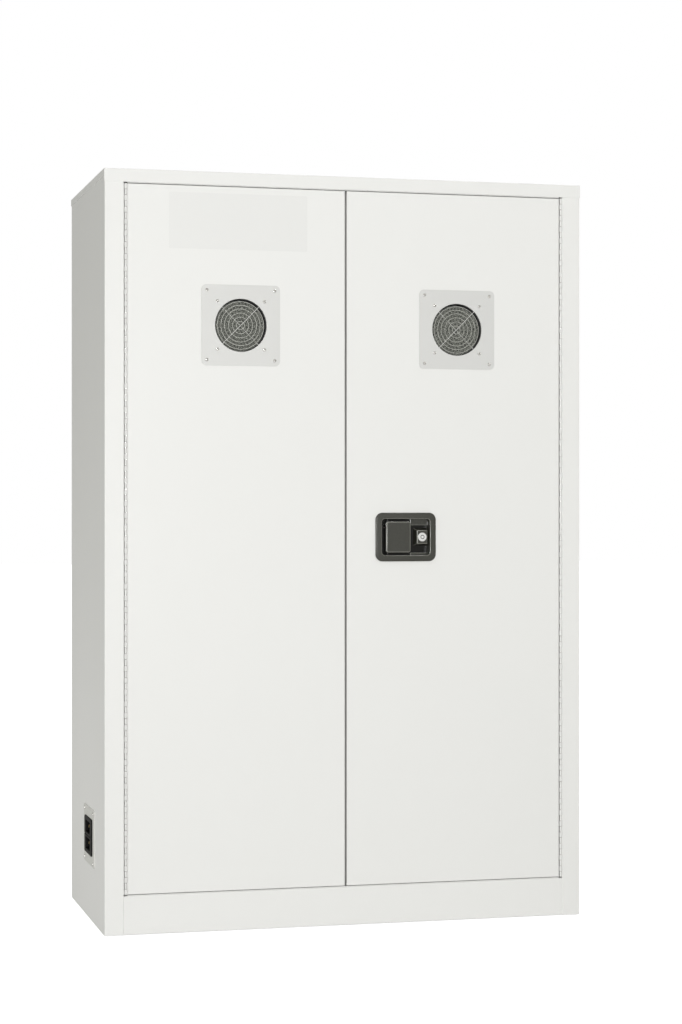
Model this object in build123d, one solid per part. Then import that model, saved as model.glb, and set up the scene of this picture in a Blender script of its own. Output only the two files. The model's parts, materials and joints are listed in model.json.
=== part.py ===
"""Two-door battery charging cabinet: double-walled sheet steel, vented doors, paddle latch, shelves.

Millimetres. +X is to the right of someone facing the doors, +Y runs from the doors to the back, +Z is up.
The origin is the centre of the whole outline, latch and inlet included, on the floor. The pieces are drawn
about the cabinet's own centre and moved there as they are saved.
"""

import os

from build123d import *

# ---- overall ----
WIDTH = 1092.0
DEPTH = 457.0
HEIGHT = 1651.0
SHEET = 1.2  # every folded panel
BEND_RADIUS = 1.8
WALL_SPACE = 38.0  # from the outer face of a wall to the inner face of its liner
SEAM = 0.3  # clearance between folded panels that nest
FLOOR_GAP = 2.0  # from the floor to the bottom edges of the panels

# ---- cap, posts, sill ----
CAP_FRONT_DROP = 28.0
CAP_SIDE_DROP = 15.0
CAP_EDGE_RADIUS = 1.0
POST_WIDTH = 42.0
BACK_FLANGE = 18.0
SILL_HEIGHT = 86.0
SILL_RECESS = 1.0
STOP_LIP = 9.0  # how far the frame covers the back of a closed door
STOP_LAP = 12.0  # the weld lap of the upper and lower stops
STOP_SPACE = 3.0
HEAD_FLANGE = 12.0

# ---- base and feet ----
BASE_DECK_HEIGHT = 38.0
FOOT_INSET = 70.0
FOOT_PAD_RADIUS = 20.0
FOOT_PAD_HEIGHT = 8.0
FOOT_PAD_CHAMFER = 2.0
FOOT_STEM_RADIUS = 5.0
FOOT_NUT_ACROSS = 17.0
FOOT_NUT_HEIGHT = 6.0
FOOT_HOLE_CLEARANCE = 0.4

# ---- liner, sump and shelves ----
SUMP_WALL_TOP = 99.0
LINER_SHELF_GAP = 12.0
SHELF_COUNT = 3
SHELF_DEPTH = 330.0
SHELF_FRONT_GAP = 8.0
SHELF_LIP = 25.0
SHELF_HEM = 9.0
SHELF_SLOT = (60.0, 9.0)
SHELF_SLOT_ROWS = 2
SHELF_SLOT_COLUMNS = 6
STANDARD_WIDTH = 20.0
STANDARD_DEPTH = 7.0
STANDARD_INSET = 50.0  # from the shelf's front and back edges
STANDARD_SLOTS_PER_BAY = 4
STANDARD_SLOT_WIDTH = 4.0
STANDARD_SLOT_HEIGHT = 16.0
CLIP_THICK = 2.0
CLIP_REACH = 14.0
CLIP_LEG = 12.0

# ---- doors ----
DOOR_THICK = 38.0
DOOR_END_GAP = 3.0
CENTRE_GAP = 4.5
SPLIT_X = -5.5  # the middle of the gap between the doors
DOOR_EDGE_RADIUS = 2.0
DOOR_FLANGE = 22.0
DOOR_LINER_MARGIN = 5.0

# ---- continuous hinges ----
HINGE_GAP = 8.0
PIN_PROUD = 1.0
PIN_RADIUS = 1.6
PIN_CLEARANCE = 0.08
KNUCKLE_RADIUS = 3.4
KNUCKLE_COUNT = 24
KNUCKLE_SPACE = 0.8
LEAF_THICK = 1.2
LEAF_DEPTH = 30.0
LEAF_CLEARANCE = 0.4

# ---- door vents ----
VENT_Z = 1319.0
LEFT_VENT_X = -244.0
RIGHT_VENT_X = 252.0
VENT_PLATE = 176.0
VENT_PLATE_THICK = 1.5
VENT_PLATE_CORNER = 11.0
VENT_RADIUS = 58.0
PLATE_SCREW_SPACING = 152.0
FAN_SCREW_SPACING = 105.0
SCREW_RADIUS = 2.0
SCREW_HOLE_CLEARANCE = 0.3
SCREW_HEAD_RADIUS = 3.8
SCREW_HEAD_HEIGHT = 2.2
SCREW_HEAD_FLAT = 2.2  # radius of the flat on top of the head
PLATE_SCREW_LENGTH = 8.0
WIRE = 2.0
GUARD_RINGS = (12.0, 24.0, 36.0, 48.0)
GUARD_EYELET_RADIUS = 5.0
FILTER_THICK = 6.0
FILTER_RADIUS = 60.0

# ---- door fans ----
FAN_SIZE = 119.0
FAN_DEPTH = 25.0
FAN_CORNER = 6.0
FAN_FLANGE_THICK = 4.0
FAN_BORE_RADIUS = 57.0
FAN_WALL = 1.6
MOTOR_PLATE_THICK = 3.0
STRUT_WIDTH = 7.0
HUB_RADIUS = 23.0
HUB_CLEARANCE = 1.0
HUB_CHAMFER = 2.0
TIP_CLEARANCE = 2.0
BLADE_COUNT = 7
BLADE_ROOT = (19.0, 46.0)  # chord, pitch in degrees
BLADE_TIP = (32.0, 27.0)
BLADE_CAMBER = 0.09
BLADE_THICK = 1.5
SPINDLE_RADIUS = 3.0
SPINDLE_CLEARANCE = 0.06

# ---- paddle latch ----
LATCH_X = 132.0
LATCH_Z = 857.0
LATCH_WIDTH = 140.0
LATCH_HEIGHT = 108.0
LATCH_CORNER = 16.0
LATCH_PROUD = 4.5
LATCH_RIM_RADIUS = 2.5
DISH_WIDTH = 112.0
DISH_HEIGHT = 81.0
DISH_CORNER = 8.0
DISH_DEPTH = 17.0
DISH_WALL = 2.0
DISH_DRAFT = 4.0
DISH_CLEARANCE = 0.5
LEDGE_HEIGHT = 8.0
LEDGE_SPACE = 2.0  # from the paddle's free edge
LEDGE_TOP = 26.0
LEDGE_BOTTOM = -35.0
PADDLE_WIDTH = 57.0
PADDLE_HEIGHT = 69.0
PADDLE_THICK = 3.0
PADDLE_CORNER = 5.0
PADDLE_CHAMFER = 1.0
PADDLE_LEFT = 11.0
PADDLE_PROUD = 1.5
PADDLE_LIP = 7.0
PADDLE_PIN_RADIUS = 2.5
PADDLE_PIN_CLEARANCE = 0.1
PADDLE_PIN_DEPTH = 5.0  # behind the door face
PADDLE_BARREL_RADIUS = 4.5
PADDLE_ANGLE = 25.0
TAIL_THICK = 4.0
TAIL_REACH = 24.0
TAIL_BOTTOM = 22.0
TAIL_TOP = 28.0

# ---- lock ----
LOCK_X = 40.0  # from the latch's centre
LOCK_RADIUS = 9.8
LOCK_FLANGE = 2.0
LOCK_BARREL_RADIUS = 8.8
LOCK_PLUG_RADIUS = 6.5
LOCK_PLUG_CLEARANCE = 0.08
BOSS_WIDTH = 24.0
BOSS_HEIGHT = 30.0
BOSS_SLOPE = 18.0  # degrees
BOSS_DEPTH = 3.0  # its front, behind the door face
KEYWAY = (1.8, 8.5, 9.0)
LOCK_CAM_LENGTH = 22.0
LOCK_CAM_RADIUS = 6.0
LOCK_CAM_THICK = 2.0

# ---- rod linkage ----
CAM_SPACE = 1.0
CAM_THICK = 3.0
CAM_ARM = 24.0
CAM_WIDTH = 14.0
CAM_LUG_WIDTH = 6.0
CAM_PUSH_GAP = 1.0
CAM_STUD_RADIUS = 4.0
CAM_STUD_CLEARANCE = 0.08
CAM_STUD_HEAD = 6.0
CAM_PIN_RADIUS = 2.5
ROD_WIDTH = 14.0
ROD_THICK = 3.0
ROD_SLOT_CLEARANCE = 0.4
ROD_SLOT_TRAVEL = 3.0
ROD_TIP_SPACE = 1.5
ROD_GUIDE_CLEARANCE = 0.4
ROD_GUIDE_WALL = 6.0
ROD_GUIDE_HEIGHT = 20.0
ROD_GUIDE_SETBACK = 70.0  # from the ends of the door
STRIKE = (60.0, 24.0, 2.0)

# ---- power inlet ----
INLET_BEHIND_FRONT = 197.0
INLET_Z = 188.0
INLET_PLATE_DEPTH = 136.0
INLET_PLATE_HEIGHT = 128.0
INLET_PLATE_THICK = 1.5
INLET_PLATE_CORNER = 3.0
INLET_SCREW_SPACING = 111.0
INLET_WIDTH = 94.0
INLET_HEIGHT = 82.0
INLET_CORNER = 6.0
INLET_RIM = 4.0
INLET_RIM_PROUD = 3.0
INLET_DEPTH = 28.0
INLET_SPLIT = 2.0
SOCKET_WIDTH = 58.0
SOCKET_HEIGHT = 27.0
SOCKET_DEPTH = 22.0
SOCKET_CORNER = 5.0
PIN_BLADE = (1.6, 6.3, 17.0)
PIN_BLADE_SPACING = 14.0

# ---- power strips ----
STRIP_WIDTH = 620.0
STRIP_DEPTH = 34.0
STRIP_HEIGHT = 46.0
STRIP_RADIUS = 3.0
STRIP_ABOVE_SHELF = 150.0
STRIP_SOCKETS = 6
SOCKET_FACE = 34.0
SOCKET_FACE_SINK = 2.0
SOCKET_FACE_CLEARANCE = 0.2
CONTACT_SLOT = (2.5, 9.0, 4.0)
CONTACT_SPACING = 12.7
DUCT_WIDTH = 60.0
DUCT_DEPTH = 24.0
DUCT_WALL = 1.5

# ---- places worked out from the sizes above ----
FRONT = -DEPTH / 2
BACK = DEPTH / 2
SIDE_X = WIDTH / 2 - SHEET
FACE_Y = FRONT + SHEET
BACK_Y = BACK - SHEET
BODY_TOP = HEIGHT - SHEET
JAMB_X = SIDE_X - POST_WIDTH
STOP_Y = FACE_Y + DOOR_THICK + STOP_SPACE
HEAD_Z = HEIGHT - CAP_FRONT_DROP
DOOR_BOTTOM = SILL_HEIGHT + DOOR_END_GAP
DOOR_TOP = HEAD_Z - DOOR_END_GAP
DOOR_MID_Z = (DOOR_BOTTOM + DOOR_TOP) / 2
HINGE_EDGE_X = JAMB_X - HINGE_GAP
PIN_X = JAMB_X - HINGE_GAP / 2
PIN_Y = FACE_Y - PIN_PROUD
LINER_X = SIDE_X - WALL_SPACE
LINER_BACK_Y = BACK_Y - WALL_SPACE
LINER_FRONT_Y = STOP_Y + SHEET
INNER_BEND = BEND_RADIUS - SHEET
STOP_EDGE_X = HINGE_EDGE_X - STOP_LIP
CEILING_Z = BODY_TOP - WALL_SPACE
BAY = (CEILING_Z - SUMP_WALL_TOP) / (SHELF_COUNT + 1)
SHELF_TOPS = [SUMP_WALL_TOP + BAY * (i + 1) for i in range(SHELF_COUNT)]
SHELF_X = LINER_X - LINER_SHELF_GAP
SHELF_FRONT_Y = LINER_FRONT_Y + SHEET + SHELF_FRONT_GAP
SHELF_BACK_Y = SHELF_FRONT_Y + SHELF_DEPTH
SKIN_BACK_Y = FACE_Y + SHEET
GUARD_BACK_Y = SKIN_BACK_Y + WIRE
FAN_FRONT_Y = GUARD_BACK_Y + FILTER_THICK
FAN_BACK_Y = FAN_FRONT_Y + FAN_DEPTH
DOOR_BACK_Y = FACE_Y + DOOR_THICK
LATCH_FRONT_Y = FACE_Y - LATCH_PROUD
DISH_FLOOR_Y = FACE_Y + DISH_DEPTH
DISH_BACK_Y = DISH_FLOOR_Y + DISH_WALL
PADDLE_FRONT_Y = FACE_Y - PADDLE_PROUD
PADDLE_PIN_X = LATCH_X - DISH_WIDTH / 2 + PADDLE_LEFT + PADDLE_BARREL_RADIUS
PADDLE_PIN_Y = FACE_Y + PADDLE_PIN_DEPTH
CAM_Y = DISH_BACK_Y + CAM_SPACE
CAM_X = PADDLE_PIN_X + TAIL_THICK / 2 + CAM_LUG_WIDTH / 2 + CAM_PUSH_GAP
ROD_Y = CAM_Y + CAM_THICK + CAM_SPACE
UPPER_ROD_X = CAM_X + CAM_ARM
LOWER_ROD_X = CAM_X - CAM_ARM
LOCK_CENTRE_X = LATCH_X + LOCK_X
BOSS_Y = FACE_Y + BOSS_DEPTH
LOCK_CAM_Y = ROD_Y + CAM_SPACE
INLET_Y = FRONT + INLET_BEHIND_FRONT
LEFT_REACH = SIDE_X + INLET_PLATE_THICK + INLET_RIM_PROUD
FRONT_REACH = max(-LATCH_FRONT_Y, KNUCKLE_RADIUS - PIN_Y)
ORIGIN_SHIFT = Pos((LEFT_REACH - WIDTH / 2) / 2, (FRONT_REACH - BACK) / 2, 0)


# ---------- helpers ----------
def block(x0, x1, y0, y1, z0, z1):
    """A block between two corners."""
    centre = Pos((x0 + x1) / 2, (y0 + y1) / 2, (z0 + z1) / 2)
    return centre * Box(abs(x1 - x0), abs(y1 - y0), abs(z1 - z0))


def bar_y(x, z, radius, y0, y1):
    """A round bar along Y."""
    return Pos(x, (y0 + y1) / 2, z) * Rot(90, 0, 0) * Cylinder(radius, abs(y1 - y0))


def bar_z(x, y, radius, z0, z1):
    """A round bar along Z."""
    return Pos(x, y, (z0 + z1) / 2) * Cylinder(radius, abs(z1 - z0))


def facing(outline, x, z, y0, y1, taper=0):
    """A flat outline, drawn as seen from the front, given thickness from y0 back to y1."""
    front = Plane(origin=(x, y0, z), x_dir=(1, 0, 0), z_dir=(0, -1, 0))
    return extrude(front * outline, amount=-(y1 - y0), taper=taper)


def sheet_outline(points, side):
    """The section of one sheet folded along an open line."""
    line = FilletPolyline(*points, radius=BEND_RADIUS)
    return make_face(offset(line, amount=SHEET, side=side, closed=True).edges())


def folded_up(points, side, z0, z1):
    """A sheet folded in plan and standing from z0 to z1."""
    return Pos(0, 0, z0) * extrude(sheet_outline(points, side), amount=z1 - z0)


def folded_across(points, side, x0, x1):
    """A sheet folded in side view, with (y, z) points, and running from x0 to x1."""
    section = Plane.YZ * sheet_outline(points, side)
    return Pos(x0, 0, 0) * extrude(section, amount=x1 - x0)


def mirrored(shape):
    """The same piece on the other side."""
    return mirror(shape, about=Plane.YZ)


def joined(shapes):
    """One solid fused from several."""
    shapes = list(shapes)
    return shapes[0].fuse(*shapes[1:]) if len(shapes) > 1 else shapes[0]


def cut(shape, tools):
    """A shape less several tools."""
    return shape.cut(*tools)


def square_pattern(spacing):
    """The four corners of a square."""
    half = spacing / 2
    return [(-half, -half), (half, -half), (half, half), (-half, half)]


def save(node, *shapes):
    """Writes one node, as one solid or as a group of separate solids."""
    solids = [ORIGIN_SHIFT * solid for shape in shapes for solid in shape.solids()]
    export_step(solids[0] if len(solids) == 1 else Compound(children=solids), f"parts/{node}.step")


# ---------- carcass ----------
def top_cap():
    """The lid pan, deeper at the front, where it is the header."""
    lid = block(-WIDTH / 2, WIDTH / 2, FRONT, BACK, HEAD_Z, HEIGHT)
    edges = lid.edges().group_by(Axis.Z)[-1] + lid.edges().filter_by(Axis.Z)
    lid = fillet(edges, CAP_EDGE_RADIUS)
    inside = block(-SIDE_X, SIDE_X, FACE_Y, BACK_Y, HEAD_Z - SHEET, BODY_TOP)
    behind = block(-WIDTH, WIDTH, FACE_Y, BACK + SHEET, HEAD_Z - SHEET, HEIGHT - CAP_SIDE_DROP)
    return cut(lid, [inside, behind])


def side_panel():
    """The left side: back flange, side, post, jamb and door stop from one sheet."""
    line = [
        (-SIDE_X + BACK_FLANGE, BACK_Y),
        (-SIDE_X, BACK_Y),
        (-SIDE_X, FACE_Y),
        (-JAMB_X, FACE_Y),
        (-JAMB_X, STOP_Y),
        (-STOP_EDGE_X, STOP_Y),
    ]
    panel = folded_up(line, Side.LEFT, FLOOR_GAP, BODY_TOP)
    reach = DOOR_END_GAP + STOP_LIP + BEND_RADIUS
    inside = (-JAMB_X, 0, STOP_Y - BEND_RADIUS, BACK)
    below = block(*inside, 0, SILL_HEIGHT + reach)
    above = block(*inside, HEAD_Z - reach, HEIGHT)
    return cut(panel, [below, above])


def inlet_openings():
    """What the left side loses for the inlet and its plate's screws."""
    body = Pos(-SIDE_X, INLET_Y, INLET_Z) * Box(
        4 * SHEET, INLET_WIDTH - 2 * INLET_RIM + 2 * SEAM, INLET_HEIGHT - 2 * INLET_RIM + 2 * SEAM
    )
    return [body] + [
        Pos(-SIDE_X, INLET_Y + dy, INLET_Z + dz)
        * Rot(0, 90, 0)
        * Cylinder(SCREW_RADIUS + SCREW_HOLE_CLEARANCE, 4 * SHEET)
        for dy, dz in square_pattern(INLET_SCREW_SPACING)
    ]


def back_panel():
    """The back, inside the side panels' flanges."""
    half = SIDE_X - SHEET - INNER_BEND
    return block(-half, half, BACK_Y - 2 * SHEET, BACK_Y - SHEET, FLOOR_GAP, BODY_TOP)


def sill_panel():
    """The panel below the doors, folded back under them and down again behind."""
    face = FACE_Y + SILL_RECESS
    line = [
        (face + BACK_FLANGE, FLOOR_GAP),
        (face, FLOOR_GAP),
        (face, SILL_HEIGHT),
        (STOP_Y, SILL_HEIGHT),
        (STOP_Y, SILL_HEIGHT - STOP_LAP),
    ]
    panel = folded_across(line, Side.RIGHT, -JAMB_X, JAMB_X)
    return cut(panel, [rod_slot(LOWER_ROD_X, SILL_HEIGHT)])


def head_channel():
    """The top of the door opening, behind the cap's front flange."""
    line = [
        (FACE_Y + HEAD_FLANGE, BODY_TOP),
        (FACE_Y, BODY_TOP),
        (FACE_Y, HEAD_Z),
        (STOP_Y, HEAD_Z),
        (STOP_Y, HEAD_Z + STOP_LAP),
    ]
    panel = folded_across(line, Side.LEFT, -JAMB_X, JAMB_X)
    return cut(panel, [rod_slot(UPPER_ROD_X, HEAD_Z)])


def door_stops():
    """The strips that the doors close against, welded behind the head and the sill."""
    reach = DOOR_END_GAP + STOP_LIP
    across = (-JAMB_X, JAMB_X, STOP_Y, STOP_Y + SHEET)
    upper = block(*across, HEAD_Z - reach, HEAD_Z + STOP_LAP)
    lower = block(*across, SILL_HEIGHT - STOP_LAP, SILL_HEIGHT + reach)
    return upper, lower


def rod_slot(x, z):
    """The slot that a rod's tip passes, through a sheet at height z."""
    wide = ROD_WIDTH + 4 * ROD_GUIDE_CLEARANCE
    deep = ROD_THICK + 4 * ROD_GUIDE_CLEARANCE
    return Pos(x, ROD_Y + ROD_THICK / 2, z) * Box(wide, deep, 4 * (STRIKE[2] + SHEET))


def rod_strikes():
    """The hardened plates behind the two rod slots."""
    wide, deep, thick = STRIKE
    y = ROD_Y + ROD_THICK / 2
    upper = Pos(UPPER_ROD_X, y, HEAD_Z + SHEET + thick / 2) * Box(wide, deep, thick)
    lower = Pos(LOWER_ROD_X, y, SILL_HEIGHT - SHEET - thick / 2) * Box(wide, deep, thick)
    return upper - rod_slot(UPPER_ROD_X, HEAD_Z), lower - rod_slot(LOWER_ROD_X, SILL_HEIGHT)


# ---------- base and feet ----------
def base_pan():
    """The deck that carries the liner and the feet, with its edges folded down."""
    x = SIDE_X - SHEET
    y0 = LINER_FRONT_Y + SEAM
    y1 = BACK_Y - 2 * SHEET
    deck = block(-x, x, y0, y1, FLOOR_GAP, BASE_DECK_HEIGHT)
    hollow = block(
        -x + SHEET,
        x - SHEET,
        y0 + SHEET,
        y1 - SHEET,
        FLOOR_GAP - SHEET,
        BASE_DECK_HEIGHT - SHEET,
    )
    holes = [
        bar_z(fx, fy, FOOT_STEM_RADIUS + FOOT_HOLE_CLEARANCE, 0, HEIGHT / 2)
        for fx, fy in foot_places()
    ]
    return cut(deck, [hollow] + holes)


def foot_places():
    """The four feet, in plan."""
    x = SIDE_X - FOOT_INSET
    y = DEPTH / 2 - FOOT_INSET
    return [(-x, -y), (x, -y), (x, y), (-x, y)]


def foot_pad():
    """A rubber pad."""
    pad = bar_z(0, 0, FOOT_PAD_RADIUS, 0, FOOT_PAD_HEIGHT)
    return chamfer(pad.edges().group_by(Axis.Z)[-1], FOOT_PAD_CHAMFER)


def foot_stem():
    """A threaded stem on its pad, with the nut under the deck."""
    stem = bar_z(0, 0, FOOT_STEM_RADIUS, FOOT_PAD_HEIGHT, BASE_DECK_HEIGHT)
    outline = RegularPolygon(FOOT_NUT_ACROSS / 2, 6, major_radius=False)
    nut = Pos(0, 0, BASE_DECK_HEIGHT - SHEET - FOOT_NUT_HEIGHT) * extrude(outline, amount=FOOT_NUT_HEIGHT)
    return stem + nut


# ---------- liner ----------
def side_liner():
    """The left inner wall, with a flange against the door stop."""
    front = LINER_FRONT_Y + SHEET
    line = [(-STOP_EDGE_X, front), (-LINER_X, front), (-LINER_X, LINER_BACK_Y)]
    return folded_up(line, Side.LEFT, BASE_DECK_HEIGHT, CEILING_Z)


def back_liner():
    """The inner back wall."""
    x = LINER_X
    return block(-x, x, LINER_BACK_Y - SHEET, LINER_BACK_Y, BASE_DECK_HEIGHT, CEILING_Z)


def top_liner():
    """The inner ceiling, with its front edge folded up behind the door stop."""
    lip_top = HEAD_Z - SHEET
    x = LINER_X
    line = [(LINER_FRONT_Y, lip_top), (LINER_FRONT_Y, CEILING_Z), (LINER_BACK_Y, CEILING_Z)]
    return folded_across(line, Side.LEFT, -x, x)


def sump_tray():
    """The welded spill tray, standing on the deck."""
    x = LINER_X
    y0 = LINER_FRONT_Y + SHEET + BEND_RADIUS
    y1 = LINER_BACK_Y - SHEET
    tray = block(-x, x, y0, y1, BASE_DECK_HEIGHT, SUMP_WALL_TOP)
    inside = block(
        -x + SHEET,
        x - SHEET,
        y0 + SHEET,
        y1 - SHEET,
        BASE_DECK_HEIGHT + SHEET,
        SUMP_WALL_TOP + SHEET,
    )
    return tray - inside


# ---------- shelves ----------
def shelf(top):
    """A shelf pan with hemmed lips and slots for charging leads."""
    low = top - SHELF_LIP
    pan = block(-SHELF_X, SHELF_X, SHELF_FRONT_Y, SHELF_BACK_Y, low, top)
    pan = fillet(pan.edges().group_by(Axis.Z)[-1], BEND_RADIUS)
    inside = block(
        -SHELF_X + SHEET,
        SHELF_X - SHEET,
        SHELF_FRONT_Y + SHEET,
        SHELF_BACK_Y - SHEET,
        low + SHEET,
        top - SHEET,
    )
    mouth = block(
        -SHELF_X + SHELF_HEM,
        SHELF_X - SHELF_HEM,
        SHELF_FRONT_Y + SHELF_HEM,
        SHELF_BACK_Y - SHELF_HEM,
        low - SHEET,
        top - SHEET,
    )
    long, wide = SHELF_SLOT
    column = 2 * SHELF_X / SHELF_SLOT_COLUMNS
    row = SHELF_DEPTH / SHELF_SLOT_ROWS
    middle = (SHELF_FRONT_Y + SHELF_BACK_Y) / 2
    slots = [
        Pos(column * (i - (SHELF_SLOT_COLUMNS - 1) / 2), middle + row * (j - (SHELF_SLOT_ROWS - 1) / 2), top)
        * Box(long, wide, 4 * SHEET)
        for i in range(SHELF_SLOT_COLUMNS)
        for j in range(SHELF_SLOT_ROWS)
    ]
    return cut(pan, [inside, mouth] + slots)


def standard_rows():
    """The two standards on each side, from front to back."""
    return [SHELF_FRONT_Y + STANDARD_INSET, SHELF_BACK_Y - STANDARD_INSET]


def shelf_standard(y):
    """A slotted upright on the left liner."""
    x0 = -LINER_X
    x1 = -LINER_X + STANDARD_DEPTH
    half = STANDARD_WIDTH / 2
    upright = block(x0, x1, y - half, y + half, SUMP_WALL_TOP, CEILING_Z - SHEET)
    channel = block(x0 - SHEET, x1 - SHEET, y - half + SHEET, y + half - SHEET, 0, HEIGHT)
    pitch = BAY / STANDARD_SLOTS_PER_BAY
    count = STANDARD_SLOTS_PER_BAY * (SHELF_COUNT + 1) - 1
    slots = [
        Pos(x1, y, SUMP_WALL_TOP + pitch * (i + 1) - SHELF_LIP - STANDARD_SLOT_HEIGHT / 4)
        * Box(4 * SHEET, STANDARD_SLOT_WIDTH, STANDARD_SLOT_HEIGHT)
        for i in range(count)
    ]
    return cut(upright, [channel] + slots)


def shelf_clip(y, top):
    """A clip hooked into a standard's slot, under the shelf's hem."""
    face = -LINER_X + STANDARD_DEPTH
    half = STANDARD_SLOT_WIDTH / 2 - SEAM
    seat = top - SHELF_LIP
    tongue = block(face, face + CLIP_REACH, y - 2 * half, y + 2 * half, seat - CLIP_THICK, seat)
    leg = block(face, face + CLIP_THICK, y - 2 * half, y + 2 * half, seat - CLIP_LEG, seat)
    hook = block(face - 2 * SHEET, face, y - half, y + half, seat - CLIP_THICK - SHEET, seat - SEAM)
    return joined([tongue, leg, hook])


# ---------- power ----------
def inlet_plate():
    """The steel plate round the inlet, on the left side."""
    x0 = -SIDE_X - INLET_PLATE_THICK
    outline = RectangleRounded(INLET_PLATE_DEPTH, INLET_PLATE_HEIGHT, INLET_PLATE_CORNER)
    plane = Plane(origin=(x0, INLET_Y, INLET_Z), x_dir=(0, -1, 0), z_dir=(-1, 0, 0))
    plate = extrude(plane * outline, amount=-INLET_PLATE_THICK)
    holes = [Pos(-INLET_PLATE_THICK, 0, 0) * tool for tool in inlet_openings()]
    return cut(plate, holes)


def inlet_screws():
    """The plate's four screws."""
    return [
        Pos(-SIDE_X - INLET_PLATE_THICK, INLET_Y + dy, INLET_Z + dz) * Rot(0, 0, -90) * screw(PLATE_SCREW_LENGTH)
        for dy, dz in square_pattern(INLET_SCREW_SPACING)
    ]


def screw(length):
    """A pan-headed screw along +Y, with its head's seat at the origin."""
    outline = Polyline(
        (0, length),
        (0, -SCREW_HEAD_HEIGHT),
        (SCREW_HEAD_FLAT, -SCREW_HEAD_HEIGHT),
        (SCREW_HEAD_RADIUS, -SCREW_HEAD_HEIGHT / 3),
        (SCREW_HEAD_RADIUS, 0),
        (SCREW_RADIUS, 0),
        (SCREW_RADIUS, length),
        close=True,
    )
    return revolve(make_face(outline), Axis.Y, 360)


def inlet_side_slab(depth, height, corner, x0, x1, z=0.0):
    """A round-cornered slab on the left side, centred on the inlet."""
    plane = Plane(origin=(x0, INLET_Y, INLET_Z + z), x_dir=(0, -1, 0), z_dir=(-1, 0, 0))
    return extrude(plane * RectangleRounded(depth, height, corner), amount=-(x1 - x0))


def socket_heights():
    """The two socket recesses, from the inlet's centre."""
    offset_z = (INLET_HEIGHT / 2 - INLET_RIM) / 2
    return [-offset_z, offset_z]


def inlet_body():
    """The double inlet: a rim over the plate, a body through the side, two shrouded sockets."""
    plate_face = -SIDE_X - INLET_PLATE_THICK
    front = plate_face - INLET_RIM_PROUD
    back = front + INLET_DEPTH
    rim = inlet_side_slab(INLET_WIDTH, INLET_HEIGHT, INLET_CORNER, front, plate_face)
    rim = fillet(rim.edges().group_by(Axis.X)[0], INLET_RIM_PROUD / 2)
    inner_depth = INLET_WIDTH - 2 * INLET_RIM
    inner_height = INLET_HEIGHT - 2 * INLET_RIM
    body = inlet_side_slab(inner_depth, inner_height, INLET_CORNER - INLET_RIM / 2, plate_face, back)
    split = block(front - 1, front + INLET_RIM_PROUD / 2, BACK, FRONT, INLET_Z - INLET_SPLIT / 2, INLET_Z + INLET_SPLIT / 2)
    sockets = [
        inlet_side_slab(SOCKET_WIDTH, SOCKET_HEIGHT, SOCKET_CORNER, front - 1, front + SOCKET_DEPTH, z)
        for z in socket_heights()
    ]
    return cut(rim + body, [split] + sockets)


def inlet_blades():
    """Three contact blades in each socket recess."""
    front = -SIDE_X - INLET_PLATE_THICK - INLET_RIM_PROUD
    back = front + SOCKET_DEPTH
    thick, tall, long = PIN_BLADE
    return [
        block(back - long, back, INLET_Y + i * PIN_BLADE_SPACING - thick / 2, INLET_Y + i * PIN_BLADE_SPACING + thick / 2,
              INLET_Z + z - tall / 2, INLET_Z + z + tall / 2)
        for z in socket_heights()
        for i in (-1, 0, 1)
    ]


def strip_heights():
    """The middle of each power strip, above its shelf."""
    return [top + STRIP_ABOVE_SHELF for top in SHELF_TOPS]


def power_strip(z):
    """A metal power strip on the back liner, with a pocket for each socket."""
    back = LINER_BACK_Y - SHEET
    strip = block(-STRIP_WIDTH / 2, STRIP_WIDTH / 2, back - STRIP_DEPTH, back, z - STRIP_HEIGHT / 2, z + STRIP_HEIGHT / 2)
    strip = fillet(strip.edges().group_by(Axis.Y)[0].filter_by(Axis.X), STRIP_RADIUS)
    half = SOCKET_FACE / 2
    front = back - STRIP_DEPTH
    pockets = [
        block(x - half, x + half, front - 1, front + 2 * SOCKET_FACE_SINK, z - half, z + half)
        for x in socket_places()
    ]
    return cut(strip, pockets)


def socket_places():
    """The sockets along a strip."""
    pitch = STRIP_WIDTH / STRIP_SOCKETS
    return [pitch * (i - (STRIP_SOCKETS - 1) / 2) for i in range(STRIP_SOCKETS)]


def strip_socket(x, z):
    """One socket face, with two contact slots."""
    front = LINER_BACK_Y - SHEET - STRIP_DEPTH
    half = SOCKET_FACE / 2 - SOCKET_FACE_CLEARANCE
    face = block(x - half, x + half, front - SOCKET_FACE_SINK / 2, front + 2 * SOCKET_FACE_SINK, z - half, z + half)
    wide, tall, deep = CONTACT_SLOT
    slots = [
        Pos(x + side * CONTACT_SPACING / 2, front - SOCKET_FACE_SINK / 2 + deep / 2, z) * Box(wide, deep, tall)
        for side in (-1, 1)
    ]
    return cut(face, slots)


def cable_duct():
    """The wiring duct that joins the strips, up the back liner."""
    back = LINER_BACK_Y - SHEET
    x1 = -STRIP_WIDTH / 2
    x0 = x1 - DUCT_WIDTH
    low = SUMP_WALL_TOP
    top = strip_heights()[-1] + STRIP_HEIGHT / 2
    duct = block(x0, x1, back - DUCT_DEPTH, back, low, top)
    bore = block(x0 + DUCT_WALL, x1 - DUCT_WALL, back - DUCT_DEPTH + DUCT_WALL, back - DUCT_WALL, low - 1, top - DUCT_WALL)
    return duct - bore


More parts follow.
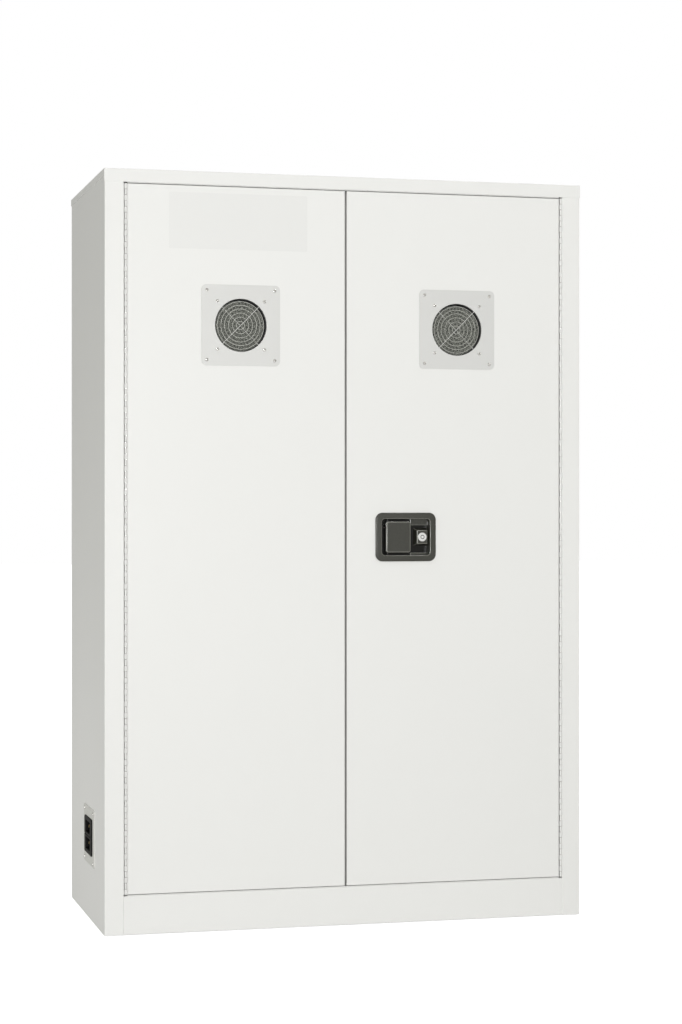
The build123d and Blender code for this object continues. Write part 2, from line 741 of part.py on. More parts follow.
# ---------- doors ----------
def door_skin(x0, x1, vent_x, extra):
    """The outer pan of a door, with its edges folded back and in."""
    pan = block(x0, x1, FACE_Y, DOOR_BACK_Y - SHEET, DOOR_BOTTOM, DOOR_TOP)
    edges = pan.edges().group_by(Axis.Y)[0]
    pan = fillet(edges, DOOR_EDGE_RADIUS)
    inside = block(x0 + SHEET, x1 - SHEET, SKIN_BACK_Y, DOOR_BACK_Y - 2 * SHEET, DOOR_BOTTOM + SHEET, DOOR_TOP - SHEET)
    mouth = block(
        x0 + DOOR_FLANGE,
        x1 - DOOR_FLANGE,
        SKIN_BACK_Y,
        DOOR_BACK_Y,
        DOOR_BOTTOM + DOOR_FLANGE,
        DOOR_TOP - DOOR_FLANGE,
    )
    return cut(pan, [inside, mouth, bar_y(vent_x, VENT_Z, VENT_RADIUS, FRONT, DOOR_BACK_Y)] + screw_holes(vent_x) + extra)


def screw_places():
    """The vent's outer and inner screws, from its centre, with their lengths."""
    fan_length = FAN_BACK_Y - FACE_Y + VENT_PLATE_THICK
    outer = [(dx, dz, PLATE_SCREW_LENGTH) for dx, dz in square_pattern(PLATE_SCREW_SPACING)]
    inner = [(dx, dz, fan_length) for dx, dz in square_pattern(FAN_SCREW_SPACING)]
    return outer + inner


def screw_holes(vent_x):
    """Clearance holes for the vent's screws."""
    radius = SCREW_RADIUS + SCREW_HOLE_CLEARANCE
    return [bar_y(vent_x + dx, VENT_Z + dz, radius, FRONT - SHEET, SKIN_BACK_Y + SHEET) for dx, dz, _ in screw_places()]


def door_liner(x0, x1, vent_x):
    """The inner panel of a door, over the skin's flanges."""
    m = DOOR_LINER_MARGIN
    panel = block(x0 + m, x1 - m, DOOR_BACK_Y - SHEET, DOOR_BACK_Y, DOOR_BOTTOM + m, DOOR_TOP - m)
    return panel - bar_y(vent_x, VENT_Z, VENT_RADIUS, FACE_Y, BACK)


def latch_cutout():
    """The opening in the right door's skin for the latch's dish."""
    grow = 2 * (DISH_WALL + DISH_CLEARANCE)
    outline = RectangleRounded(DISH_WIDTH + grow, DISH_HEIGHT + grow, DISH_CORNER + grow / 2)
    return facing(outline, LATCH_X, LATCH_Z, FRONT, SKIN_BACK_Y + SHEET)


# ---------- hinges ----------
def knuckle_span(i):
    """The lower and upper end of one knuckle."""
    pitch = (DOOR_TOP - DOOR_BOTTOM) / KNUCKLE_COUNT
    low = DOOR_BOTTOM + pitch * i
    return low + KNUCKLE_SPACE / 2, low + pitch - KNUCKLE_SPACE / 2


def hinge_leaf(parity, toward_door):
    """One leaf of the left hinge, with every second knuckle."""
    if toward_door:
        x0, x1 = -HINGE_EDGE_X - LEAF_THICK, -HINGE_EDGE_X
    else:
        x0, x1 = -JAMB_X, -JAMB_X + LEAF_THICK
    leaf = block(x0, x1, PIN_Y, PIN_Y + LEAF_DEPTH, DOOR_BOTTOM, DOOR_TOP)
    own = [knuckle_span(i) for i in range(KNUCKLE_COUNT) if i % 2 == parity]
    other = [knuckle_span(i) for i in range(KNUCKLE_COUNT) if i % 2 != parity]
    room = KNUCKLE_RADIUS + LEAF_CLEARANCE
    notches = [
        block(x0 - SHEET, x1 + SHEET, PIN_Y - room, PIN_Y + room, low - KNUCKLE_SPACE, high + KNUCKLE_SPACE)
        for low, high in other
    ]
    barrels = [bar_z(-PIN_X, PIN_Y, KNUCKLE_RADIUS, low, high) for low, high in own]
    bore = bar_z(-PIN_X, PIN_Y, PIN_RADIUS + PIN_CLEARANCE, 0, HEIGHT)
    return cut(joined([cut(leaf, notches)] + barrels), [bore])


def hinge_pin():
    """The left hinge's pin."""
    return bar_z(-PIN_X, PIN_Y, PIN_RADIUS, DOOR_BOTTOM, DOOR_TOP)


# ---------- vents and fans ----------
def vent_plate(vent_x):
    """The square trim plate on a door."""
    outline = RectangleRounded(VENT_PLATE, VENT_PLATE, VENT_PLATE_CORNER) - Circle(VENT_RADIUS)
    plate = facing(outline, vent_x, VENT_Z, FACE_Y - VENT_PLATE_THICK, FACE_Y)
    return cut(plate, screw_holes(vent_x))


def vent_screws(vent_x):
    """The eight screws of a vent."""
    return [
        Pos(vent_x + dx, FACE_Y - VENT_PLATE_THICK, VENT_Z + dz) * screw(length)
        for dx, dz, length in screw_places()
    ]


def vent_guard(vent_x):
    """The finger guard: rings, two diagonal wires and an eyelet on each fan screw."""
    diagonal = FAN_SCREW_SPACING * 2**0.5
    wires = [Rot(0, 0, angle) * Rectangle(diagonal, WIRE) for angle in (45, -45)]
    rings = [Circle(r + WIRE / 2) - Circle(r - WIRE / 2) for r in GUARD_RINGS]
    places = square_pattern(FAN_SCREW_SPACING)
    eyelets = [Pos(x, y) * Circle(GUARD_EYELET_RADIUS) for x, y in places]
    holes = [Pos(x, y) * Circle(SCREW_RADIUS + SCREW_HOLE_CLEARANCE) for x, y in places]
    outline = cut(joined(rings + wires + eyelets), holes)
    return facing(outline, vent_x, VENT_Z, SKIN_BACK_Y, GUARD_BACK_Y)


def vent_filter(vent_x):
    """The knitted metal filter pad between the guard and the fan."""
    return bar_y(vent_x, VENT_Z, FILTER_RADIUS, GUARD_BACK_Y, FAN_FRONT_Y)


def fan_frame(vent_x):
    """The fan's frame: two square flanges, a round duct, and a motor plate on four struts."""
    square = RectangleRounded(FAN_SIZE, FAN_SIZE, FAN_CORNER)
    front = facing(square, vent_x, VENT_Z, FAN_FRONT_Y, FAN_FRONT_Y + FAN_FLANGE_THICK)
    back = facing(square, vent_x, VENT_Z, FAN_BACK_Y - FAN_FLANGE_THICK, FAN_BACK_Y)
    duct = bar_y(vent_x, VENT_Z, FAN_BORE_RADIUS + FAN_WALL, FAN_FRONT_Y, FAN_BACK_Y)
    bore = bar_y(vent_x, VENT_Z, FAN_BORE_RADIUS, FAN_FRONT_Y - 1, FAN_BACK_Y + 1)
    radius = SCREW_RADIUS + SCREW_HOLE_CLEARANCE
    holes = [
        bar_y(vent_x + x, VENT_Z + z, radius, FAN_FRONT_Y - 1, FAN_BACK_Y + 1)
        for x, z in square_pattern(FAN_SCREW_SPACING)
    ]
    frame = cut(joined([front, back, duct]), [bore] + holes)
    plate_y = FAN_BACK_Y - MOTOR_PLATE_THICK
    plate = bar_y(vent_x, VENT_Z, HUB_RADIUS, plate_y, FAN_BACK_Y)
    bars = Rot(0, 0, 45) * (
        Rectangle(2 * FAN_BORE_RADIUS + FAN_WALL, STRUT_WIDTH) + Rectangle(STRUT_WIDTH, 2 * FAN_BORE_RADIUS + FAN_WALL)
    )
    struts = facing(bars, vent_x, VENT_Z, plate_y, FAN_BACK_Y)
    bearing = bar_y(vent_x, VENT_Z, SPINDLE_RADIUS + SPINDLE_CLEARANCE, plate_y - 1, FAN_BACK_Y + 1)
    return cut(joined([frame, plate, struts]), [bearing])


def blade_section(radius, chord, pitch):
    """A cambered blade section in three flats, across the radial line."""
    rise = BLADE_CAMBER * chord
    half = chord / 2
    third = chord / 6
    lower = [(-half, 0), (-third, rise), (third, rise), (half, 0)]
    upper = [(x, y + BLADE_THICK) for x, y in reversed(lower)]
    section = make_face(Polyline(*lower, *upper, close=True))
    plane = Plane(origin=(radius, 0, 0), x_dir=(0, 0, 1), z_dir=(1, 0, 0))
    return plane * Rot(0, 0, -pitch) * Pos(0, -BLADE_THICK / 2) * section


def fan_rotor(vent_x):
    """The hub, its spindle and the twisted blades, turning about Y."""
    front = FAN_FRONT_Y + HUB_CLEARANCE
    back = FAN_BACK_Y - MOTOR_PLATE_THICK - HUB_CLEARANCE
    hub = bar_y(0, 0, HUB_RADIUS, front, back)
    hub = chamfer(hub.edges().group_by(Axis.Y)[0], HUB_CHAMFER)
    spindle = bar_y(0, 0, SPINDLE_RADIUS, back, FAN_BACK_Y)
    tip = FAN_BORE_RADIUS - TIP_CLEARANCE
    root = blade_section(HUB_RADIUS - 1.5, *BLADE_ROOT)
    end = blade_section(tip, *BLADE_TIP)
    blade = loft([root, end], ruled=True)
    middle = (front + back) / 2
    blades = [Pos(0, middle, 0) * Rot(0, 360 / BLADE_COUNT * i, 0) * blade for i in range(BLADE_COUNT)]
    return Pos(vent_x, 0, VENT_Z) * joined([hub, spindle] + blades)


# ---------- paddle latch ----------
def latch_dish():
    """The moulded dish: a proud rim, drafted walls, finger ledges, the lock's boss, the pin's holes."""
    rim = facing(RectangleRounded(LATCH_WIDTH, LATCH_HEIGHT, LATCH_CORNER), LATCH_X, LATCH_Z, LATCH_FRONT_Y, FACE_Y)
    rim = fillet(rim.edges().group_by(Axis.Y)[0], LATCH_RIM_RADIUS)
    grow = 2 * DISH_WALL
    outside = RectangleRounded(DISH_WIDTH + grow, DISH_HEIGHT + grow, DISH_CORNER + DISH_WALL)
    tub = facing(outside, LATCH_X, LATCH_Z, FACE_Y, DISH_BACK_Y, DISH_DRAFT)
    inside = RectangleRounded(DISH_WIDTH, DISH_HEIGHT, DISH_CORNER)
    mouth = facing(inside, LATCH_X, LATCH_Z, LATCH_FRONT_Y - 1, FACE_Y)
    well = facing(inside, LATCH_X, LATCH_Z, FACE_Y, DISH_FLOOR_Y, DISH_DRAFT)
    dish = cut(rim + tub, [mouth, well])
    right = LATCH_X + DISH_WIDTH / 2
    left = PADDLE_PIN_X - PADDLE_BARREL_RADIUS + PADDLE_WIDTH + LEDGE_SPACE
    ledges = [
        block(left, right, DISH_FLOOR_Y - LEDGE_HEIGHT, DISH_FLOOR_Y, LATCH_Z + LEDGE_TOP, LATCH_Z + DISH_HEIGHT / 2),
        block(left, right, DISH_FLOOR_Y - LEDGE_HEIGHT, DISH_FLOOR_Y, LATCH_Z + LEDGE_BOTTOM, LATCH_Z - DISH_HEIGHT / 2),
    ]
    boss = lock_boss()
    dish = joined([dish, boss & (mouth + well + tub)] + [ledge & (mouth + well) for ledge in ledges])
    return cut(dish, latch_holes())


def lock_boss():
    """The raised boss, which slopes out to the dish's floor."""
    outline = Rectangle(BOSS_WIDTH, BOSS_HEIGHT)
    return facing(outline, LOCK_CENTRE_X, LATCH_Z, BOSS_Y, DISH_BACK_Y, -BOSS_SLOPE)


def latch_holes():
    """The paddle pin's holes, the tail's slot and the lock's bore."""
    pin = bar_z(PADDLE_PIN_X, PADDLE_PIN_Y, PADDLE_PIN_RADIUS + PADDLE_PIN_CLEARANCE, LATCH_Z - LATCH_HEIGHT / 2 + 6, LATCH_Z + LATCH_HEIGHT / 2 - 6)
    slot = block(
        PADDLE_PIN_X - TAIL_THICK,
        PADDLE_PIN_X + TAIL_REACH / 2,
        DISH_FLOOR_Y - 1,
        DISH_BACK_Y + 1,
        LATCH_Z + TAIL_BOTTOM - 1,
        LATCH_Z + TAIL_TOP + 1,
    )
    lock = bar_y(LOCK_CENTRE_X, LATCH_Z, LOCK_BARREL_RADIUS + SEAM, FRONT, DISH_BACK_Y + 1)
    return [pin, slot, lock]


def paddle():
    """The paddle: plate, rolled finger lip, pin barrel and the tail through the dish."""
    x0 = PADDLE_PIN_X - PADDLE_BARREL_RADIUS
    centre_x = x0 + PADDLE_WIDTH / 2
    outline = RectangleRounded(PADDLE_WIDTH, PADDLE_HEIGHT, PADDLE_CORNER)
    plate = facing(outline, centre_x, LATCH_Z, PADDLE_FRONT_Y, PADDLE_FRONT_Y + PADDLE_THICK)
    plate = chamfer(plate.edges().group_by(Axis.Y)[0], PADDLE_CHAMFER)
    x1 = x0 + PADDLE_WIDTH
    half = PADDLE_HEIGHT / 2
    lip_height = half - PADDLE_CORNER
    lip = block(x1 - PADDLE_THICK, x1, PADDLE_FRONT_Y + PADDLE_THICK / 2, PADDLE_FRONT_Y + PADDLE_LIP, LATCH_Z - lip_height, LATCH_Z + lip_height)
    barrel = bar_z(PADDLE_PIN_X, PADDLE_PIN_Y, PADDLE_BARREL_RADIUS, LATCH_Z - half + 2, LATCH_Z + half - 2)
    web = block(PADDLE_PIN_X - PADDLE_BARREL_RADIUS, PADDLE_PIN_X + PADDLE_BARREL_RADIUS, PADDLE_FRONT_Y + 1, PADDLE_PIN_Y, LATCH_Z - half + 2, LATCH_Z + half - 2)
    pin_half = DISH_HEIGHT / 2 + 1
    pin = bar_z(PADDLE_PIN_X, PADDLE_PIN_Y, PADDLE_PIN_RADIUS, LATCH_Z - pin_half, LATCH_Z + pin_half)
    tail = block(
        PADDLE_PIN_X - TAIL_THICK / 2,
        PADDLE_PIN_X + TAIL_THICK / 2,
        PADDLE_PIN_Y,
        PADDLE_PIN_Y + TAIL_REACH,
        LATCH_Z + TAIL_BOTTOM,
        LATCH_Z + TAIL_TOP,
    )
    return joined([plate, lip, barrel, web, pin, tail])


def lock_housing():
    """The fixed part of the lock: a flange on the boss and a barrel through the dish."""
    flange = bar_y(LOCK_CENTRE_X, LATCH_Z, LOCK_RADIUS, BOSS_Y - LOCK_FLANGE, BOSS_Y)
    flange = chamfer(flange.edges().group_by(Axis.Y)[0], LOCK_FLANGE / 3)
    barrel = bar_y(LOCK_CENTRE_X, LATCH_Z, LOCK_BARREL_RADIUS, BOSS_Y, ROD_Y)
    bore = bar_y(LOCK_CENTRE_X, LATCH_Z, LOCK_PLUG_RADIUS + LOCK_PLUG_CLEARANCE, FRONT, ROD_Y + 1)
    return cut(flange + barrel, [bore])


def lock_plug():
    """The turning part of the lock, with its keyway and its cam."""
    front = BOSS_Y - LOCK_FLANGE + SEAM
    plug = bar_y(LOCK_CENTRE_X, LATCH_Z, LOCK_PLUG_RADIUS, front, LOCK_CAM_Y)
    wide, tall, deep = KEYWAY
    keyway = block(LOCK_CENTRE_X - wide / 2, LOCK_CENTRE_X + wide / 2, front - 1, front + deep, LATCH_Z - tall / 2, LATCH_Z + tall / 2)
    arm = SlotCenterPoint((0, -LOCK_CAM_LENGTH / 2), (0, 0), 2 * LOCK_CAM_RADIUS)
    cam = facing(arm, LOCK_CENTRE_X, LATCH_Z, LOCK_CAM_Y, LOCK_CAM_Y + LOCK_CAM_THICK)
    return cut(plug, [keyway]) + cam


# ---------- rod linkage ----------
def rod_cam():
    """The cam that the paddle's tail turns, with a pin for each rod."""
    arms = SlotCenterToCenter(2 * CAM_ARM, CAM_WIDTH)
    lug = Pos(0, TAIL_TOP / 2) * Rectangle(CAM_LUG_WIDTH, TAIL_TOP)
    outline = arms + lug - Circle(CAM_STUD_RADIUS + CAM_STUD_CLEARANCE)
    plate = facing(outline, CAM_X, LATCH_Z, CAM_Y, CAM_Y + CAM_THICK)
    end = ROD_Y + ROD_THICK + CAM_SPACE
    pins = [bar_y(x, LATCH_Z, CAM_PIN_RADIUS, CAM_Y + CAM_THICK / 2, end) for x in (UPPER_ROD_X, LOWER_ROD_X)]
    return joined([plate] + pins)


def cam_stud():
    """The shouldered stud on the dish's back that the cam turns on."""
    shank = bar_y(CAM_X, LATCH_Z, CAM_STUD_RADIUS, DISH_BACK_Y, CAM_Y + CAM_THICK + SEAM)
    head = bar_y(CAM_X, LATCH_Z, CAM_STUD_HEAD, CAM_Y + CAM_THICK + SEAM, ROD_Y + ROD_THICK)
    return shank + head


def rod(x, near, far):
    """A flat latch rod from the cam to its tip, with a slot for the cam's pin."""
    half = ROD_WIDTH / 2
    low, high = sorted((near, far))
    bar = block(x - half, x + half, ROD_Y, ROD_Y + ROD_THICK, low, high)
    tip = bar.edges().filter_by(Axis.Y).sort_by(lambda edge: abs(edge.center().Z - far))[:2]
    bar = chamfer(tip, ROD_WIDTH / 4)
    radius = CAM_PIN_RADIUS + ROD_SLOT_CLEARANCE
    slot = facing(SlotCenterToCenter(2 * ROD_SLOT_TRAVEL, 2 * radius), x, LATCH_Z, ROD_Y - 1, ROD_Y + ROD_THICK + 1)
    return bar - slot


def rod_guide(x, z):
    """A nylon guide block on the back of the skin."""
    half = ROD_WIDTH / 2 + ROD_GUIDE_WALL
    tall = ROD_GUIDE_HEIGHT / 2
    body = block(x - half, x + half, SKIN_BACK_Y, ROD_Y + ROD_THICK + ROD_GUIDE_WALL / 2, z - tall, z + tall)
    wide = ROD_WIDTH / 2 + ROD_GUIDE_CLEARANCE
    way = block(x - wide, x + wide, ROD_Y - ROD_GUIDE_CLEARANCE, ROD_Y + ROD_THICK + ROD_GUIDE_CLEARANCE, 0, HEIGHT)
    return body - way


# ---------- everything ----------
def build_carcass():
    """The fixed cabinet."""
    side = side_panel()
    save("top_cap", top_cap())
    save("left_side_panel", cut(side, inlet_openings()))
    save("right_side_panel", mirrored(side))
    save("back_panel", back_panel())
    save("sill_panel", sill_panel())
    save("head_channel", head_channel())
    save("door_stops", *door_stops())
    save("rod_strikes", *rod_strikes())
    save("base_pan", base_pan())
    save("foot_pads", *[Pos(x, y, 0) * foot_pad() for x, y in foot_places()])
    save("foot_stems", *[Pos(x, y, 0) * foot_stem() for x, y in foot_places()])
    liner = side_liner()
    save("left_side_liner", liner)
    save("right_side_liner", mirrored(liner))
    save("back_liner", back_liner())
    save("top_liner", top_liner())
    save("sump_tray", sump_tray())


def build_interior():
    """Shelves, their supports and the charging outlets."""
    standards = [shelf_standard(y) for y in standard_rows()]
    save("shelf_standards", *standards, *[mirrored(piece) for piece in standards])
    for number, top in enumerate(SHELF_TOPS, start=1):
        save(f"shelf_{number}", shelf(top))
    clips = [shelf_clip(y, top) for y in standard_rows() for top in SHELF_TOPS]
    save("shelf_clips", *clips, *[mirrored(clip) for clip in clips])
    for number, z in enumerate(strip_heights(), start=1):
        save(f"power_strip_{number}", power_strip(z))
    save("strip_sockets", *[strip_socket(x, z) for x in socket_places() for z in strip_heights()])
    save("cable_duct", cable_duct())


def build_inlet():
    """The double power inlet on the left side."""
    save("inlet_plate", inlet_plate())
    save("inlet_body", inlet_body())
    save("inlet_blades", *inlet_blades())
    save("inlet_screws", *inlet_screws())


def build_hinges():
    """Both continuous hinges."""
    frame_leaf = hinge_leaf(0, False)
    door_leaf = hinge_leaf(1, True)
    pin = hinge_pin()
    save("left_hinge_frame_leaf", frame_leaf)
    save("left_hinge_door_leaf", door_leaf)
    save("right_hinge_frame_leaf", mirrored(frame_leaf))
    save("right_hinge_door_leaf", mirrored(door_leaf))
    save("hinge_pins", pin, mirrored(pin))


def build_door(side, x0, x1, vent_x, extra):
    """One door with its vent and fan."""
    save(f"{side}_door_skin", door_skin(x0, x1, vent_x, extra))
    save(f"{side}_door_liner", door_liner(x0, x1, vent_x))
    save(f"{side}_vent_plate", vent_plate(vent_x))
    save(f"{side}_vent_screws", *vent_screws(vent_x))
    save(f"{side}_vent_guard", vent_guard(vent_x))
    save(f"{side}_vent_filter", vent_filter(vent_x))
    save(f"{side}_fan_frame", fan_frame(vent_x))
    save(f"{side}_fan_rotor", fan_rotor(vent_x))


def build_latch():
    """The paddle latch, its lock and its rods."""
    save("latch_dish", latch_dish())
    save("paddle", paddle())
    save("lock_housing", lock_housing())
    save("lock_plug", lock_plug())
    save("rod_cam", rod_cam())
    save("cam_stud", cam_stud())
    overlap = CAM_PIN_RADIUS + ROD_WIDTH / 2
    upper_tip = HEAD_Z - ROD_TIP_SPACE
    lower_tip = SILL_HEIGHT + ROD_TIP_SPACE
    save("upper_rod", rod(UPPER_ROD_X, LATCH_Z - overlap, upper_tip))
    save("lower_rod", rod(LOWER_ROD_X, LATCH_Z + overlap, lower_tip))
    high = DOOR_TOP - ROD_GUIDE_SETBACK
    low = DOOR_BOTTOM + ROD_GUIDE_SETBACK
    middle_gap = LATCH_HEIGHT
    save(
        "rod_guides",
        rod_guide(UPPER_ROD_X, high),
        rod_guide(UPPER_ROD_X, LATCH_Z + middle_gap),
        rod_guide(LOWER_ROD_X, LATCH_Z - middle_gap),
        rod_guide(LOWER_ROD_X, low),
    )


os.makedirs("parts", exist_ok=True)
build_carcass()
build_interior()
build_inlet()
build_hinges()
build_door("left", -HINGE_EDGE_X, SPLIT_X - CENTRE_GAP / 2, LEFT_VENT_X, [])
rod_slots = [rod_slot(UPPER_ROD_X, DOOR_TOP), rod_slot(LOWER_ROD_X, DOOR_BOTTOM)]
build_door("right", SPLIT_X + CENTRE_GAP / 2, HINGE_EDGE_X, RIGHT_VENT_X, [latch_cutout()] + rod_slots)
build_latch()
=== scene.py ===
"""Dresses the two-door battery charging cabinet: its finishes, hinges, vents, latch, label and studio.

Every size is in metres, in the same frame as the solid model: +X right, +Y to the back, +Z up, floor at zero.
"""

import json
import logging
import math
import random
from dataclasses import dataclass, field
from enum import Enum
from typing import Callable, Dict, Iterable, List, Optional, Sequence, Tuple

import bmesh
import bpy
from mathutils import Matrix, Vector

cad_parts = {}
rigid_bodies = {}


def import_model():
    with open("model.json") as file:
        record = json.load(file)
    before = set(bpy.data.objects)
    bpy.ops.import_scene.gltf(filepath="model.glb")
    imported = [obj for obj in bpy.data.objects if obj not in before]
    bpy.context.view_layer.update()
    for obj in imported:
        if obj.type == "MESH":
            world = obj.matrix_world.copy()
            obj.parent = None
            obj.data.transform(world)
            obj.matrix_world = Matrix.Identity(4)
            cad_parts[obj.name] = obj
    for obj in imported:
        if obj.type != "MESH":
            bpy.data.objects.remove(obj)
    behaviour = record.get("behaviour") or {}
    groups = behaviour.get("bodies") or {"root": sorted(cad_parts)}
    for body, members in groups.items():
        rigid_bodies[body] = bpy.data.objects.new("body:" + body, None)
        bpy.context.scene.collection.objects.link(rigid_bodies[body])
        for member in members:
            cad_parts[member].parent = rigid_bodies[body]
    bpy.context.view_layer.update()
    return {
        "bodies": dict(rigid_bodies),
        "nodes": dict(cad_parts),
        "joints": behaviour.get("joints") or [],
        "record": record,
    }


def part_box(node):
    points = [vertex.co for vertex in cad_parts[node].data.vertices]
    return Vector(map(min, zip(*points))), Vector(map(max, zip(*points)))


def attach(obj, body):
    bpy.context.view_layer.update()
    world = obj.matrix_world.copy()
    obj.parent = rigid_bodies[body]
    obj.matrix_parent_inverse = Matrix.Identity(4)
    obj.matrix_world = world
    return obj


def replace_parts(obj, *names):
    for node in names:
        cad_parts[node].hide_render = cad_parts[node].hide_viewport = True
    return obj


LOG = logging.getLogger("cabinet")
MM = 0.001
SMOOTH_BELOW = math.radians(35)  # edges flatter than this are shaded smooth
MERGE = 1e-6  # points closer than this are one
Colour = Tuple[float, float, float]
Point = Tuple[float, float, float]


class Side(Enum):
    """The two doors, by the side of the cabinet that carries their hinge."""

    LEFT = "left"
    RIGHT = "right"


# ---------------------------------------------------------------- shader groups


def math_node(nodes: bpy.types.Nodes, operation: str, second: Optional[float] = None) -> bpy.types.Node:
    """Adds a node that works out one sum.

    Args:
        nodes: the nodes to add it to.
        operation: what it does.
        second: its second value, where that is a plain number.

    Returns:
        The node.
    """
    node = nodes.new("ShaderNodeMath")
    node.operation = operation
    if second is not None:
        node.inputs[1].default_value = second
    return node


class Groups:
    """The shader node groups that several finishes share, each built once."""

    _made: Dict[str, bpy.types.NodeTree] = {}

    @classmethod
    def get(cls, name: str) -> bpy.types.NodeTree:
        """Gives a group, and builds it the first time.

        Args:
            name: "peel", "grain" or "tone".

        Returns:
            The node group.
        """
        if name not in cls._made:
            makers: Dict[str, Callable[[], bpy.types.NodeTree]] = {
                "peel": cls._peel,
                "grain": cls._grain,
                "tone": cls._tone,
            }
            cls._made[name] = makers[name]()
        return cls._made[name]

    @staticmethod
    def _empty(
        name: str, inputs: Sequence[Tuple[str, str, object]], outputs: Sequence[Tuple[str, str]]
    ) -> Tuple[bpy.types.NodeTree, bpy.types.Node, bpy.types.Node]:
        """Makes a group with its sockets.

        Args:
            name: the group's name.
            inputs: name, socket type and default of each input.
            outputs: name and socket type of each output.

        Returns:
            The group, its input node and its output node.
        """
        tree = bpy.data.node_groups.new(name, "ShaderNodeTree")
        for label, kind, value in inputs:
            socket = tree.interface.new_socket(name=label, in_out="INPUT", socket_type=kind)
            socket.default_value = value
        for label, kind in outputs:
            tree.interface.new_socket(name=label, in_out="OUTPUT", socket_type=kind)
        return tree, tree.nodes.new("NodeGroupInput"), tree.nodes.new("NodeGroupOutput")

    @classmethod
    def _peel(cls) -> bpy.types.NodeTree:
        """Sprayed paint: a slow ripple with fine grit on it.

        Returns:
            A group with a Height output, and the grit alone as its Mask output.
        """
        tree, entry, leave = cls._empty(
            "peel",
            [("Scale", "NodeSocketFloat", 600.0), ("Grit", "NodeSocketFloat", 0.3)],
            [("Height", "NodeSocketFloat"), ("Mask", "NodeSocketFloat")],
        )
        nodes, links = tree.nodes, tree.links
        place = nodes.new("ShaderNodeTexCoord")
        ripple = nodes.new("ShaderNodeTexNoise")
        ripple.inputs["Detail"].default_value = 1.0
        grit = nodes.new("ShaderNodeTexNoise")
        grit.inputs["Detail"].default_value = 3.0
        finer = math_node(nodes, "MULTIPLY", 4.0)
        part = math_node(nodes, "MULTIPLY_ADD")
        for noise in (ripple, grit):
            links.new(place.outputs["Object"], noise.inputs["Vector"])
        links.new(entry.outputs["Scale"], ripple.inputs["Scale"])
        links.new(entry.outputs["Scale"], finer.inputs[0])
        links.new(finer.outputs[0], grit.inputs["Scale"])
        links.new(grit.outputs["Fac"], part.inputs[0])
        links.new(entry.outputs["Grit"], part.inputs[1])
        links.new(ripple.outputs["Fac"], part.inputs[2])
        links.new(part.outputs[0], leave.inputs["Height"])
        links.new(grit.outputs["Fac"], leave.inputs["Mask"])
        return tree

    @classmethod
    def _grain(cls) -> bpy.types.NodeTree:
        """Rolled or brushed metal: noise drawn out along one direction.

        Returns:
            A group with a Value output.
        """
        tree, entry, leave = cls._empty(
            "grain",
            [("Stretch", "NodeSocketVector", (30.0, 900.0, 900.0))],
            [("Value", "NodeSocketFloat")],
        )
        nodes, links = tree.nodes, tree.links
        place = nodes.new("ShaderNodeTexCoord")
        stretch = nodes.new("ShaderNodeVectorMath")
        stretch.operation = "MULTIPLY"
        noise = nodes.new("ShaderNodeTexNoise")
        noise.inputs["Scale"].default_value = 1.0
        noise.inputs["Detail"].default_value = 4.0
        links.new(place.outputs["Object"], stretch.inputs[0])
        links.new(entry.outputs["Stretch"], stretch.inputs[1])
        links.new(stretch.outputs[0], noise.inputs["Vector"])
        links.new(noise.outputs["Fac"], leave.inputs["Value"])
        return tree

    @classmethod
    def _tone(cls) -> bpy.types.NodeTree:
        """Slow, faint changes of colour over a surface.

        Returns:
            A group with a Color output.
        """
        tree, entry, leave = cls._empty(
            "tone",
            [
                ("Color", "NodeSocketColor", (0.8, 0.8, 0.8, 1.0)),
                ("Other", "NodeSocketColor", (0.7, 0.7, 0.7, 1.0)),
                ("Scale", "NodeSocketFloat", 3.0),
                ("Amount", "NodeSocketFloat", 0.5),
            ],
            [("Color", "NodeSocketColor")],
        )
        nodes, links = tree.nodes, tree.links
        place = nodes.new("ShaderNodeTexCoord")
        noise = nodes.new("ShaderNodeTexNoise")
        noise.inputs["Detail"].default_value = 5.0
        amount = math_node(nodes, "MULTIPLY")
        mix = nodes.new("ShaderNodeMix")
        mix.data_type = "RGBA"
        links.new(place.outputs["Object"], noise.inputs["Vector"])
        links.new(entry.outputs["Scale"], noise.inputs["Scale"])
        links.new(noise.outputs["Fac"], amount.inputs[0])
        links.new(entry.outputs["Amount"], amount.inputs[1])
        links.new(amount.outputs[0], mix.inputs["Factor"])
        links.new(entry.outputs["Color"], mix.inputs["A"])
        links.new(entry.outputs["Other"], mix.inputs["B"])
        links.new(mix.outputs["Result"], leave.inputs["Color"])
        return tree


# ---------------------------------------------------------------- finishes


